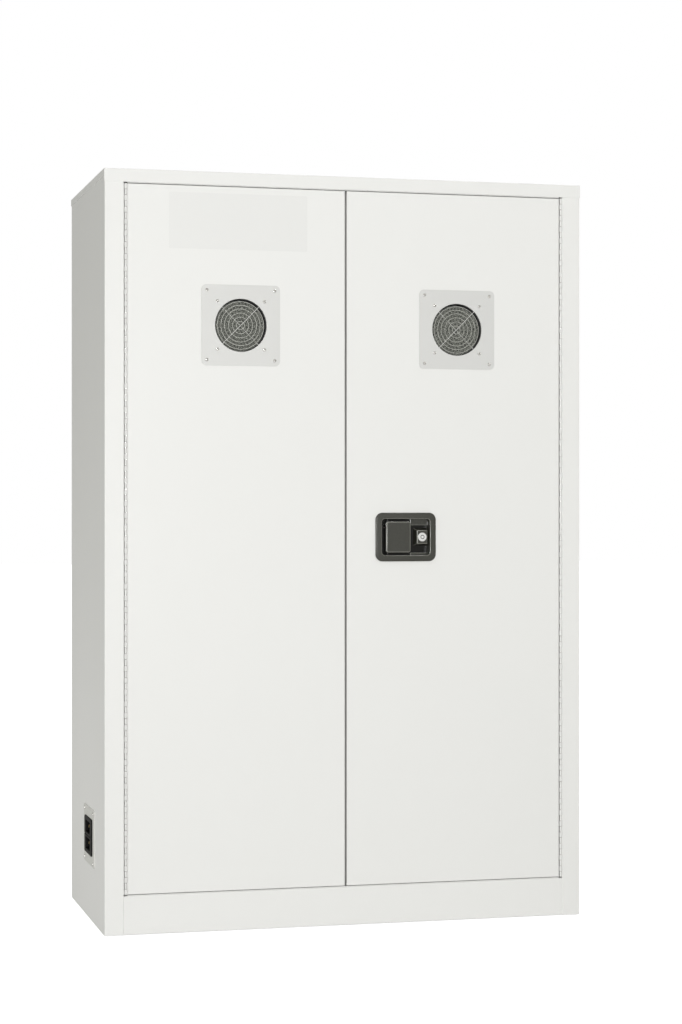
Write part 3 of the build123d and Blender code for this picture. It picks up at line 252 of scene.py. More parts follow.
@dataclass(frozen=True)
class Finish:
    """A surface finish: colour with faint variation, gloss, and a fine relief.

    relief is the height of the peel or grain in metres, and peel its scale per metre. With a grain, which
    is how many times per metre it varies along each axis, the surface has that in place of the peel.
    """

    name: str
    colour: Colour
    other: Colour
    roughness: float
    metallic: float = 0.0
    tone_scale: float = 4.0
    tone_amount: float = 0.5
    peel: float = 700.0
    grit: float = 0.3
    relief: float = 0.00002
    coat: float = 0.0
    coat_roughness: float = 0.16
    grain: Optional[Point] = None
    rough_spread: float = 0.08
    gloss: float = 0.5

    def material(self) -> bpy.types.Material:
        """Builds the material, or gives the one built before.

        Returns:
            The material.
        """
        found = bpy.data.materials.get(self.name)
        if found is not None:
            return found
        made = bpy.data.materials.new(self.name)
        made.use_nodes = True
        nodes, links = made.node_tree.nodes, made.node_tree.links
        shader = nodes["Principled BSDF"]
        shader.inputs["Metallic"].default_value = self.metallic
        shader.inputs["Coat Weight"].default_value = self.coat
        shader.inputs["Coat Roughness"].default_value = self.coat_roughness
        shader.inputs["Specular IOR Level"].default_value = self.gloss
        tone = self._group(nodes, "tone")
        tone.inputs["Color"].default_value = (*self.colour, 1.0)
        tone.inputs["Other"].default_value = (*self.other, 1.0)
        tone.inputs["Scale"].default_value = self.tone_scale
        tone.inputs["Amount"].default_value = self.tone_amount
        links.new(tone.outputs["Color"], shader.inputs["Base Color"])
        height, mask = self._relief(nodes, links)
        bump = nodes.new("ShaderNodeBump")
        bump.inputs["Distance"].default_value = self.relief
        links.new(height, bump.inputs["Height"])
        links.new(bump.outputs["Normal"], shader.inputs["Normal"])
        spread = nodes.new("ShaderNodeMapRange")
        spread.inputs["To Min"].default_value = max(0.0, self.roughness - self.rough_spread)
        spread.inputs["To Max"].default_value = min(1.0, self.roughness + self.rough_spread)
        links.new(mask, spread.inputs["Value"])
        links.new(spread.outputs["Result"], shader.inputs["Roughness"])
        return made

    @staticmethod
    def _group(nodes: bpy.types.Nodes, name: str) -> bpy.types.Node:
        """Places a shared group in a material.

        Args:
            nodes: the material's nodes.
            name: the group's name.

        Returns:
            The group node.
        """
        node = nodes.new("ShaderNodeGroup")
        node.node_tree = Groups.get(name)
        return node

    def _relief(
        self, nodes: bpy.types.Nodes, links: bpy.types.NodeLinks
    ) -> Tuple[bpy.types.NodeSocket, bpy.types.NodeSocket]:
        """Adds the fine relief.

        Args:
            nodes: the material's nodes.
            links: the material's links.

        Returns:
            The height socket, and a mask for the gloss.
        """
        if self.grain is not None:
            grain = self._group(nodes, "grain")
            grain.inputs["Stretch"].default_value = self.grain
            return grain.outputs["Value"], grain.outputs["Value"]
        peel = self._group(nodes, "peel")
        peel.inputs["Scale"].default_value = self.peel
        peel.inputs["Grit"].default_value = self.grit
        return peel.outputs["Height"], peel.outputs["Mask"]


WHITE_COAT = Finish(
    "white_powder_coat", (0.80, 0.80, 0.79), (0.77, 0.77, 0.755), 0.42, tone_scale=2.0, peel=420.0
)
LABEL_FILM = Finish("label_film", (0.765, 0.765, 0.755), (0.75, 0.75, 0.74), 0.38, relief=0.00001, peel=90.0)
SATIN_ALUMINIUM = Finish(
    "satin_aluminium",
    (0.66, 0.66, 0.65),
    (0.61, 0.61, 0.60),
    0.55,
    metallic=0.2,
    tone_scale=9.0,
    grain=(60.0, 1500.0, 1500.0),
    relief=0.00001,
)
ZINC = Finish("zinc_plate", (0.80, 0.79, 0.77), (0.66, 0.66, 0.64), 0.24, metallic=1.0, tone_scale=60.0)
BRIGHT_WIRE = Finish(
    "bright_wire", (0.85, 0.85, 0.83), (0.75, 0.75, 0.73), 0.35, metallic=0.3, tone_scale=40.0
)
DULL_WIRE = Finish("dull_wire", (0.62, 0.62, 0.58), (0.42, 0.42, 0.40), 0.45, metallic=0.5, tone_scale=40.0)
FOIL = Finish(
    "knitted_foil",
    (0.66, 0.67, 0.62),
    (0.30, 0.31, 0.28),
    0.42,
    metallic=0.6,
    tone_scale=160.0,
    relief=0.0001,
)
FOIL_DEEP = Finish(
    "foil_in_shade", (0.10, 0.105, 0.095), (0.05, 0.052, 0.048), 0.7, metallic=0.3, tone_scale=220.0
)
CHROME = Finish(
    "satin_chrome", (0.90, 0.90, 0.89), (0.84, 0.84, 0.83), 0.34, metallic=0.55, rough_spread=0.06
)
TEXTURED_BLACK = Finish(
    "textured_black",
    (0.018, 0.018, 0.013),
    (0.042, 0.042, 0.032),
    0.36,
    coat=0.5,
    tone_scale=500.0,
    tone_amount=0.9,
    peel=900.0,
    grit=0.8,
    relief=0.00012,
    rough_spread=0.12,
)
BLACK_PLASTIC = Finish(
    "moulded_black",
    (0.004, 0.004, 0.004),
    (0.008, 0.008, 0.008),
    0.5,
    tone_scale=30.0,
    relief=0.00004,
    gloss=0.12,
)
FAN_BLACK = Finish(
    "fan_black", (0.018, 0.018, 0.018), (0.03, 0.03, 0.03), 0.55, tone_scale=30.0, relief=0.00004
)
BRASS = Finish("plated_brass", (0.62, 0.50, 0.27), (0.50, 0.40, 0.22), 0.28, metallic=1.0, tone_scale=60.0)
RUBBER = Finish("black_rubber", (0.02, 0.02, 0.02), (0.04, 0.04, 0.04), 0.75, tone_scale=40.0, relief=0.00008)
NYLON = Finish("natural_nylon", (0.62, 0.61, 0.56), (0.55, 0.54, 0.50), 0.5, tone_scale=20.0)
GREY_COAT = Finish("grey_powder_coat", (0.11, 0.115, 0.12), (0.09, 0.095, 0.10), 0.5, peel=500.0)
OUTLET_BLACK = Finish("outlet_black", (0.02, 0.02, 0.022), (0.03, 0.03, 0.032), 0.25, tone_scale=20.0)
INLET_STEEL = Finish(
    "satin_steel", (0.66, 0.66, 0.63), (0.60, 0.60, 0.58), 0.55, metallic=0.1, grain=(1500.0, 60.0, 1500.0)
)
# Painted shadow: near-black for the thin disc standing in the lock's ring-shaped keyway.
SHADOW_BLACK = Finish("keyway_shadow", (0.006, 0.006, 0.006), (0.01, 0.01, 0.01), 0.8, gloss=0.1)
# Painted highlight: a lighter, glossier black for the latch's rounded edges, standing for the lamps' glints
# there.
PAINTED_EDGE_HIGHLIGHT = Finish("painted_edge_highlight", (0.15, 0.15, 0.13), (0.24, 0.24, 0.21), 0.26, gloss=1.0, coat=1.0)
# Painted shade: near-black for the latch's faces deep in its recess.
PAINTED_RECESS_SHADE = Finish("painted_recess_shade", (0.004, 0.004, 0.003), (0.007, 0.007, 0.006), 0.3, gloss=0.3)

FINISHES: Dict[str, Finish] = {
    "cabinet_paint": WHITE_COAT,
    "zinc": ZINC,
    "vent_aluminium": SATIN_ALUMINIUM,
    "wire": BRIGHT_WIRE,
    "filter_mesh": FOIL,
    "fan_plastic": FAN_BLACK,
    "latch_black": TEXTURED_BLACK,
    "lock_chrome": CHROME,
    "inlet_plastic": BLACK_PLASTIC,
    "contact_brass": BRASS,
    "rubber": RUBBER,
    "nylon": NYLON,
    "strip_metal": GREY_COAT,
    "outlet_plastic": OUTLET_BLACK,
    "inlet_steel": INLET_STEEL,
}


# ---------------------------------------------------------------- mesh building


class Form:
    """Collects faces in one mesh and turns it into a piece."""

    def __init__(self) -> None:
        """Starts an empty mesh."""
        self.mesh = bmesh.new()

    def block(self, low: Vector, high: Vector) -> None:
        """Adds a box between two corners.

        Args:
            low: the lowest corner.
            high: the highest corner.
        """
        size = high - low
        middle = (high + low) / 2
        matrix = Matrix.Translation(middle) @ Matrix.Diagonal((*size, 1.0))
        bmesh.ops.create_cube(self.mesh, size=1.0, matrix=matrix)

    def turned(self, profile: Sequence[Tuple[float, float]], frame: Matrix, steps: int) -> None:
        """Adds a closed solid of revolution.

        Args:
            profile: radius and height of each point, from one end of the axis to the other.
            frame: places the solid, whose axis is local Z.
            steps: facets round the axis.
        """
        rings: List[List[bmesh.types.BMVert]] = []
        for radius, height in profile:
            if radius == 0.0:
                rings.append([self.mesh.verts.new(frame @ Vector((0.0, 0.0, height)))])
                continue
            ring = []
            for i in range(steps):
                angle = 2 * math.pi * i / steps
                spot = Vector((radius * math.cos(angle), radius * math.sin(angle), height))
                ring.append(self.mesh.verts.new(frame @ spot))
            rings.append(ring)
        for below, above in zip(rings, rings[1:]):
            self.skin(below, above, steps)

    def skin(self, below: List[bmesh.types.BMVert], above: List[bmesh.types.BMVert], steps: int) -> None:
        """Joins two rings, either of which may be one point.

        Args:
            below: the first ring.
            above: the second ring.
            steps: vertices in a full ring.
        """
        for i in range(steps):
            j = (i + 1) % steps
            lower = [below[i % len(below)], below[j % len(below)]]
            upper = [above[j % len(above)], above[i % len(above)]]
            corners = list(dict.fromkeys(lower + upper))
            if len(corners) > 2:
                self.mesh.faces.new(corners)

    def tube(self, path: Sequence[Vector], radius: float, sides: int, closed: bool = False) -> None:
        """Adds a round wire along a path.

        Args:
            path: the points of its centre line.
            radius: the wire's radius.
            sides: facets round the wire.
            closed: whether its end joins its start.
        """
        count = len(path)
        rings = []
        for i, spot in enumerate(path):
            before = path[i - 1] if closed or i > 0 else spot
            after = path[(i + 1) % count] if closed or i < count - 1 else spot
            along = (after - before).normalized()
            across = along.cross(Vector((0.0, 1.0, 0.0)))
            if across.length < MERGE:
                across = along.cross(Vector((1.0, 0.0, 0.0)))
            across.normalize()
            other = along.cross(across)
            ring = []
            for k in range(sides):
                angle = 2 * math.pi * k / sides
                offset = across * (radius * math.cos(angle)) + other * (radius * math.sin(angle))
                ring.append(self.mesh.verts.new(spot + offset))
            rings.append(ring)
        spans = zip(rings, rings[1:] + rings[:1]) if closed else zip(rings, rings[1:])
        for below, above in spans:
            self.skin(below, above, sides)
        if not closed:
            self.mesh.faces.new(list(reversed(rings[0])))
            self.mesh.faces.new(rings[-1])

    def piece(self, name: str, finish: Finish, body: str) -> bpy.types.Object:
        """Makes the object, gives it its finish and puts it on its body.

        Args:
            name: the piece's name.
            finish: its finish.
            body: the body that it rides on.

        Returns:
            The object.
        """
        bmesh.ops.recalc_face_normals(self.mesh, faces=self.mesh.faces)
        for edge in self.mesh.edges:
            edge.smooth = len(edge.link_faces) == 2 and edge.calc_face_angle(math.pi) < SMOOTH_BELOW
        for face in self.mesh.faces:
            face.smooth = True
        data = bpy.data.meshes.new(name)
        self.mesh.to_mesh(data)
        self.mesh.free()
        made = bpy.data.objects.new(name, data)
        bpy.context.scene.collection.objects.link(made)
        data.materials.append(finish.material())
        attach(made, body)
        LOG.info("piece %s on %s, %d faces", name, body, len(data.polygons))
        return made


def centre(node: str) -> Vector:
    """The middle of a solid's box."""
    low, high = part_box(node)
    return (low + high) / 2


def facing_front(spot: Vector) -> Matrix:
    """A frame at a spot whose Z points out of the doors, towards -Y."""
    return Matrix.Translation(spot) @ Matrix.Rotation(math.radians(90), 4, "X")


# ---------------------------------------------------------------- solids as they are


@dataclass
class PaintShop:
    """Gives every solid of the frame its finish."""

    slots: Dict[str, str] = field(default_factory=dict)

    def read(self, record: Dict) -> None:
        """Reads which slot each node has.

        Args:
            record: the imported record.
        """
        self.slots = {row["node"]: row["material_slot"] for row in record["subparts"]}

    def dress(self, nodes: Dict[str, bpy.types.Object]) -> None:
        """Assigns the finishes.

        Args:
            nodes: the frame's objects by node name.
        """
        for name, obj in nodes.items():
            material = FINISHES[self.slots[name]].material()
            for slot in obj.material_slots:
                slot.material = material
            LOG.info("solid %s in %s", name, material.name)


# ---------------------------------------------------------------- hinges


@dataclass
class PianoHinge:
    """A continuous hinge: two leaves with interleaved knuckles on one pin."""

    side: Side
    pitch: float = 12.7 * MM
    space: float = 1.2 * MM  # between two knuckles
    steps: int = 14
    leaf: float = 1.2 * MM  # the sheet's thickness
    ease: float = 0.5 * MM  # off each knuckle's end
    leaf_gap: float = 0.4 * MM  # from the curl back to the leaf's plate
    slim: float = 0.64  # the curl's radius, as a share of the room it has

    def build(self, pin: Vector) -> None:
        """Builds both leaves.

        Args:
            pin: a point on the pin's axis.
        """
        self._leaf("frame", 0, pin, "cabinet")
        self._leaf("door", 1, pin, f"{self.side.value}_door")

    def _leaf(self, part: str, parity: int, pin: Vector, body: str) -> None:
        """Builds one leaf with every second knuckle.

        Args:
            part: "frame" or "door".
            parity: 0 or 1, which knuckles it has.
            pin: a point on the pin's axis.
            body: the body it rides on.
        """
        node = f"{self.side.value}_hinge_{part}_leaf"
        low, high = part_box(node)
        radius = (pin.y - low.y) * self.slim
        edge = low.x if abs(low.x - pin.x) > abs(high.x - pin.x) else high.x
        inner = edge - math.copysign(self.leaf, edge - pin.x)
        x0, x1 = min(edge, inner), max(edge, inner)
        form = Form()
        root = pin.y + radius + self.leaf_gap
        form.block(Vector((x0, root, low.z)), Vector((x1, high.y, high.z)))
        count = int(round((high.z - low.z) / self.pitch))
        pitch = (high.z - low.z) / count
        for i in range(parity, count, 2):
            bottom = low.z + pitch * i + self.space / 2
            top = low.z + pitch * (i + 1) - self.space / 2
            profile = [
                (0.0, bottom),
                (radius - self.ease, bottom),
                (radius, bottom + self.ease),
                (radius, top - self.ease),
                (radius - self.ease, top),
                (0.0, top),
            ]
            form.turned(profile, Matrix.Translation(Vector((pin.x, pin.y, 0.0))), self.steps)
            form.block(Vector((x0, pin.y, bottom)), Vector((x1, root, top)))
        made = form.piece(f"{node}_fine", WHITE_COAT, body)
        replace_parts(made, node)
        LOG.info("hinge leaf %s has %d knuckles", node, count // 2)


@dataclass
class FoldBeads:
    """The rolled folds of the header and the sill, which narrow the slits above and below the doors."""

    radius: float = 0.95 * MM
    sides: int = 12

    def build(self) -> None:
        """Rolls the header's lower fold and the sill's upper fold."""
        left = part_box("left_door_skin")[0].x
        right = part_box("right_door_skin")[1].x
        head_low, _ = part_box("head_channel")
        sill_low, sill_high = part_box("sill_panel")
        self._bead("head_fold_bead", left, right, Vector((0.0, head_low.y, head_low.z - self.radius)))
        self._bead("sill_fold_bead", left, right, Vector((0.0, sill_low.y, sill_high.z + self.radius)))

    def _bead(self, name: str, left: float, right: float, spot: Vector) -> None:
        """Adds one bead.

        Args:
            name: the piece's name.
            left: its left end.
            right: its right end.
            spot: where it touches the front face, at its own height.
        """
        form = Form()
        depth = spot.y + self.radius
        form.tube([Vector((left, depth, spot.z)), Vector((right, depth, spot.z))], self.radius, self.sides)
        form.piece(name, WHITE_COAT, "cabinet")


# ---------------------------------------------------------------- vents


@dataclass(frozen=True)
class PanHead:
    """A domed screw head with a cross recess. The recess's sizes are shares of the head's."""

    radius: float
    height: float
    rings: int = 7
    steps: int = 24
    dome: float = 2.6  # a higher power gives a flatter top
    slot_half: float = 0.17  # of the radius
    slot_reach: float = 0.62  # of the radius
    slot_depth: float = 0.6  # of the height

    def add(self, form: Form, spot: Vector, turn: float) -> None:
        """Adds the head, facing out of the doors.

        Args:
            form: the mesh to add to.
            spot: the middle of its seat.
            turn: how far the cross is turned, in radians.
        """
        frame = facing_front(spot)
        rows: List[List[bmesh.types.BMVert]] = []
        for i in range(self.rings + 1):
            share = 1 - i / self.rings
            row = []
            for k in range(self.steps if share > 0 else 1):
                angle = 2 * math.pi * k / self.steps
                x = share * self.radius * math.cos(angle)
                y = share * self.radius * math.sin(angle)
                row.append(form.mesh.verts.new(frame @ Vector((x, y, self._rise(x, y, share, turn)))))
            rows.append(row)
        for below, above in zip(rows, rows[1:]):
            form.skin(below, above, self.steps)
        form.mesh.faces.new(rows[0])

    def _rise(self, x: float, y: float, share: float, turn: float) -> float:
        """How high the head stands at one point.

        Args:
            x: the point's first place from the middle.
            y: the point's second place from the middle.
            share: how far out the point is, from 0 to 1.
            turn: how far the cross is turned, in radians.

        Returns:
            The height above the seat.
        """
        z = self.height * math.sqrt(max(0.0, 1 - share**self.dome))
        u = abs(x * math.cos(turn) + y * math.sin(turn))
        v = abs(-x * math.sin(turn) + y * math.cos(turn))
        if min(u, v) < self.slot_half * self.radius and max(u, v) < self.slot_reach * self.radius:
            z -= self.slot_depth * self.height
        return z


@dataclass
class DoorVent:
    """The dressed parts of a door's vent: guard wires, knitted filter and screws."""

    side: Side
    wire: float = 0.6 * MM  # the radius of rings and diagonals
    ring_sides: int = 6
    bar_sides: int = 8
    back_bar: float = 3.4 * MM  # how far the rear diagonal is pressed into the pad
    rings: Tuple[float, ...] = (9 * MM, 18 * MM, 27 * MM, 36 * MM, 44 * MM, 52 * MM)
    ring_steps: int = 56
    cell_wide: float = 9.0 * MM
    cell_tall: float = 5.6 * MM
    crimp: float = 0.46  # how far a strand rises and falls, as a share of a cell's height
    strand: float = 0.55 * MM
    strand_sides: int = 4
    wander: float = 1.0 * MM
    eyelet: float = 4.2 * MM
    pad_radius: float = 56.5 * MM
    pad_sag: Tuple[float, float] = (-2.2 * MM, -2.2 * MM)  # how far the loose pad sits off its centre
    layers: int = 3
    layer_turns: Tuple[float, float] = (-12.0, 31.0)  # the first layer's turn and the next ones', in degrees
    core_steps: int = 64
    seeds: Tuple[int, int] = (11, 29)  # the left and the right pad's unevenness
    screw_spacings: Tuple[float, float] = (105 * MM, 152 * MM)
    shank_radius: float = 2.0 * MM
    shank_steps: int = 12
    outer_shank: float = 8.0 * MM  # the outer screws' length
    screw_turns: Tuple[float, float] = (0.3, 0.7)  # the first screw's turn and each next one's, in radians

    def build(self) -> None:
        """Builds the guard, the filter and the screws."""
        self._guard()
        self._filter()
        self._screws()

    def _body(self) -> str:
        """The door's body."""
        return f"{self.side.value}_door"

    def _guard(self) -> None:
        """Bends the guard's rings and diagonals from round wire."""
        node = f"{self.side.value}_vent_guard"
        low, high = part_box(node)
        middle = (low + high) / 2
        reach = self.screw_spacings[0] / 2
        rings = Form()
        for radius in self.rings:
            self._ring(rings, middle, radius, high.y - self.wire)
        for dx in (-reach, reach):
            for dz in (-reach, reach):
                spot = Vector((middle.x + dx, 0.0, middle.z + dz))
                self._ring(rings, spot, self.eyelet, high.y - self.wire)
        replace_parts(rings.piece(f"{node}_rings", DULL_WIRE, self._body()), node)
        bars = Form()
        for sign, depth in ((1.0, low.y + self.wire), (-1.0, high.y + self.back_bar)):
            across = (-reach, 0.0, reach)
            ends = [Vector((middle.x + dx, depth, middle.z + dx * sign)) for dx in across]
            bars.tube(ends, self.wire, self.bar_sides)
        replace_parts(bars.piece(f"{node}_bars", BRIGHT_WIRE, self._body()), node)

    def _ring(self, form: Form, middle: Vector, radius: float, depth: float) -> None:
        """Bends one ring of wire in the plane of the door.

        Args:
            form: the mesh to add to.
            middle: its centre.
            radius: its radius.
            depth: its Y.
        """
        steps = self.ring_steps if radius > self.eyelet else self.ring_steps // 4
        turn = 2 * math.pi / steps
        path = [
            Vector((middle.x + radius * math.cos(turn * i), depth, middle.z + radius * math.sin(turn * i)))
            for i in range(steps)
        ]
        form.tube(path, self.wire, self.ring_sides, closed=True)

    def _filter(self) -> None:
        """Knits the filter from layers of crimped foil cells over a dense, shaded core."""
        node = f"{self.side.value}_vent_filter"
        low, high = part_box(node)
        middle = (low + high) / 2 + Vector((self.pad_sag[0], 0.0, self.pad_sag[1]))
        noise = random.Random(self.seeds[0] if self.side is Side.LEFT else self.seeds[1])
        step = (high.y - low.y) / (self.layers + 1)
        form = Form()
        for layer in range(self.layers):
            self._layer(form, middle, low.y + step * (layer + 0.5), layer, noise)
        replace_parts(form.piece(f"{node}_knit", FOIL, self._body()), node)
        core = Form()
        thick = high.y - low.y - step * self.layers
        rim = self.pad_radius
        profile = [(0.0, 0.0), (rim, 0.0), (rim, thick), (0.0, thick)]
        core.turned(profile, facing_front(Vector((middle.x, high.y, middle.z))), self.core_steps)
        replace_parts(core.piece(f"{node}_core", FOIL_DEEP, self._body()), node)

    def _layer(self, form: Form, middle: Vector, depth: float, layer: int, noise: random.Random) -> None:
        """Adds one layer of zigzag strands that meet into cells.

        Args:
            form: the mesh to add to.
            middle: the filter's centre.
            depth: the layer's Y.
            layer: which layer, to turn its cells.
            noise: the seeded source of its unevenness.
        """
        turn = math.radians(self.layer_turns[1] * layer + self.layer_turns[0])
        rows = int(2 * self.pad_radius / self.cell_tall) + 1
        columns = int(2 * self.pad_radius / (self.cell_wide / 2)) + 1
        for row in range(rows):
            strand: List[Vector] = []
            for column in range(columns):
                rise = self.crimp * self.cell_tall * (1 if (row + column) % 2 else -1)
                u = -self.pad_radius + column * self.cell_wide / 2 + noise.uniform(-1, 1) * self.wander
                v = -self.pad_radius + row * self.cell_tall + rise + noise.uniform(-1, 1) * self.wander * 0.5
                x = u * math.cos(turn) - v * math.sin(turn)
                z = u * math.sin(turn) + v * math.cos(turn)
                if math.hypot(x, z) > self.pad_radius - self.strand:
                    self._strand(form, strand)
                    strand = []
                    continue
                y = depth + noise.uniform(-1, 1) * self.strand
                strand.append(Vector((middle.x + x, y, middle.z + z)))
            self._strand(form, strand)

    def _strand(self, form: Form, strand: List[Vector]) -> None:
        """Adds one strand, unless it is too short.

        Args:
            form: the mesh to add to.
            strand: its points.
        """
        if len(strand) > 1:
            form.tube(strand, self.strand, self.strand_sides)

    def _screws(self) -> None:
        """Turns the eight pan-head screws, each with a cross recess."""
        node = f"{self.side.value}_vent_screws"
        low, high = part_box(node)
        middle = centre(f"{self.side.value}_vent_plate")
        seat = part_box(f"{self.side.value}_vent_plate")[0].y
        head = PanHead((high.x - low.x - self.screw_spacings[1]) / 2, seat - low.y)
        form = Form()
        turn = self.screw_turns[0]
        thick = self.shank_radius
        for spacing, length in zip(self.screw_spacings, (high.y - seat, self.outer_shank)):
            for dx in (-spacing / 2, spacing / 2):
                for dz in (-spacing / 2, spacing / 2):
                    spot = Vector((middle.x + dx, seat, middle.z + dz))
                    head.add(form, spot, turn)
                    shank = [(0.0, 0.0), (thick, 0.0), (thick, -length), (0.0, -length)]
                    form.turned(shank, facing_front(spot), self.shank_steps)
                    turn += self.screw_turns[1]
        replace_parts(form.piece(f"{node}_heads", ZINC, self._body()), node)


# ---------------------------------------------------------------- latch and lock


@dataclass
class PaddleLatch:
    """The dressed parts of the paddle latch: softened castings with painted shade in the recess and painted
    highlights on the rounded edges, and the lock's face.
    """

    soften: float = 1.1 * MM  # the width of the rounded edges
    soften_steps: int = 3
    flat_below: float = math.radians(2)  # faces this close to one plane are one face
    corner_above: float = math.radians(32)  # edges sharper than this are rounded
    deep: float = 6.0 * MM  # how far forward of the dish's back its faces get the painted recess shade
    lip: float = 4.0 * MM  # how deep the paddle's textured front is; its faces behind that get the painted recess shade
    way_outer: float = 4.6 * MM  # the ring-shaped keyway's radii
    way_inner: float = 3.2 * MM
    step: float = 0.15 * MM  # the painted shadow disc's thickness
    collar: float = 0.6 * MM
    ease: float = 0.25 * MM
    rim_steps: int = 32
    post_steps: int = 24

    def build(self, nodes: Dict[str, bpy.types.Object]) -> None:
        """Softens the castings' edges and adds the lock's face.

        Args:
            nodes: the frame's objects by node name.
        """
        dish_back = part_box("latch_dish")[1].y
        paddle_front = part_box("paddle")[0].y
        self._softened(nodes["latch_dish"], "latch_dish", "right_door", dish_back - self.deep)
        self._softened(nodes["paddle"], "paddle", "paddle", paddle_front + self.lip)
        self._face()

    def _softened(self, source: bpy.types.Object, node: str, body: str, shade_from: float) -> None:
        """Makes a copy of a casting with rounded edges, to stand for it.

        Args:
            source: the solid's object.
            node: its node name.
            body: the body it rides on.
            shade_from: the Y from which its faces are painted near-black, as painted shade deep in the
                recess.
        """
        form = Form()
        form.mesh.from_mesh(source.data)
        bmesh.ops.remove_doubles(form.mesh, verts=form.mesh.verts, dist=MERGE)
        bmesh.ops.dissolve_limit(
            form.mesh, angle_limit=self.flat_below, verts=form.mesh.verts, edges=form.mesh.edges
        )
        bmesh.ops.recalc_face_normals(form.mesh, faces=form.mesh.faces)
        form.mesh.normal_update()
        weights = form.mesh.edges.layers.float.new("bevel_weight_edge")
        for edge in form.mesh.edges:
            corner = edge.is_convex and edge.calc_face_angle(0.0) > self.corner_above
            edge[weights] = 1.0 if corner else 0.0
        made = form.piece(f"{node}_cast", TEXTURED_BLACK, body)
        slots = made.data.materials
        slots.append(PAINTED_RECESS_SHADE.material())
        slots.append(PAINTED_EDGE_HIGHLIGHT.material())
        for face in made.data.polygons:
            # Faces deep in the recess take the painted shade.
            face.material_index = int(face.center.y > shade_from)
        bevel = made.modifiers.new("edges", "BEVEL")
        bevel.width = self.soften
        bevel.segments = self.soften_steps
        bevel.limit_method = "WEIGHT"
        # The rounded edges take the painted highlight.
        bevel.material = len(slots) - 1
        bevel.use_clamp_overlap = False
        bevel.harden_normals = True
        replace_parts(made, node)

    def _face(self) -> None:
        """Adds the lock's face: a collar and a post, over a thin black disc that shows between them as
        painted shadow in the ring-shaped keyway.
        """
        low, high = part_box("lock_plug")
        housing_low, housing_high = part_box("lock_housing")
        middle = (housing_low + housing_high) / 2
        seat = facing_front(Vector((middle.x, low.y, middle.z)))
        rim = (high.x - low.x) / 2
        way = Form()
        # Painted shadow: a thin black disc across the keyway.
        way.turned([(0.0, 0.0), (rim, 0.0), (rim, self.step), (0.0, self.step)], seat, self.rim_steps)
        way.piece("lock_keyway_shadow", SHADOW_BLACK, "lock_plug")
        face = Form()
        top = self.step + self.collar
        outer = [
            (self.way_outer, self.step),
            (rim, self.step),
            (rim, top - self.ease),
            (rim - self.ease, top),
            (self.way_outer, top),
            (self.way_outer, self.step),
        ]
        face.turned(outer, seat, self.rim_steps)
        inner = [(0.0, self.step), (self.way_inner, self.step), (self.way_inner, top), (0.0, top)]
        face.turned(inner, seat, self.post_steps)
        face.piece("lock_face", CHROME, "lock_plug")


# ---------------------------------------------------------------- blank label


@dataclass
class BlankLabel:
    """A bare film label on the upper left door."""

    width: float = 310 * MM
    height: float = 122 * MM
    corner: float = 3 * MM
    corner_steps: int = 4
    thick: float = 0.3 * MM
    from_hinge: float = 246 * MM  # the label's middle, from the door's hinge edge
    from_top: float = 76 * MM  # the label's middle, from the door's top edge

    def build(self) -> None:
        """Cuts the label and sticks it on the door."""
        low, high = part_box("left_door_skin")
        middle = Vector((low.x + self.from_hinge, low.y, high.z - self.from_top))
        outline = []
        for sx, sz, start in ((1, 1, 0), (-1, 1, 90), (-1, -1, 180), (1, -1, 270)):
            for step in range(self.corner_steps + 1):
                angle = math.radians(start + 90 / self.corner_steps * step)
                x = sx * (self.width / 2 - self.corner) + self.corner * math.cos(angle)
                z = sz * (self.height / 2 - self.corner) + self.corner * math.sin(angle)
                outline.append((x, z))
        form = Form()
        back = [form.mesh.verts.new(middle + Vector((x, 0.0, z))) for x, z in outline]
        front = [form.mesh.verts.new(middle + Vector((x, -self.thick, z))) for x, z in outline]
        form.skin(back, front, len(outline))
        form.mesh.faces.new(back)
        form.mesh.faces.new(front)
        form.piece("blank_label", LABEL_FILM, "left_door")


# ---------------------------------------------------------------- studio


@dataclass(frozen=True)
class Lamp:
    """A square soft lamp: where it hangs, what it points at, its side and its power in watts."""

    name: str
    place: Point
    target: Point
    size: float
    power: float

    def build(self) -> None:
        """Hangs the lamp."""
        data = bpy.data.lights.new(self.name, "AREA")
        data.shape = "SQUARE"
        data.size = self.size
        data.energy = self.power
        lamp = bpy.data.objects.new(self.name, data)
        lamp.location = self.place
        aim = Vector(self.target) - Vector(self.place)
        lamp.rotation_euler = aim.to_track_quat("-Z", "Y").to_euler()
        lamp.visible_camera = False
        bpy.context.scene.collection.objects.link(lamp)


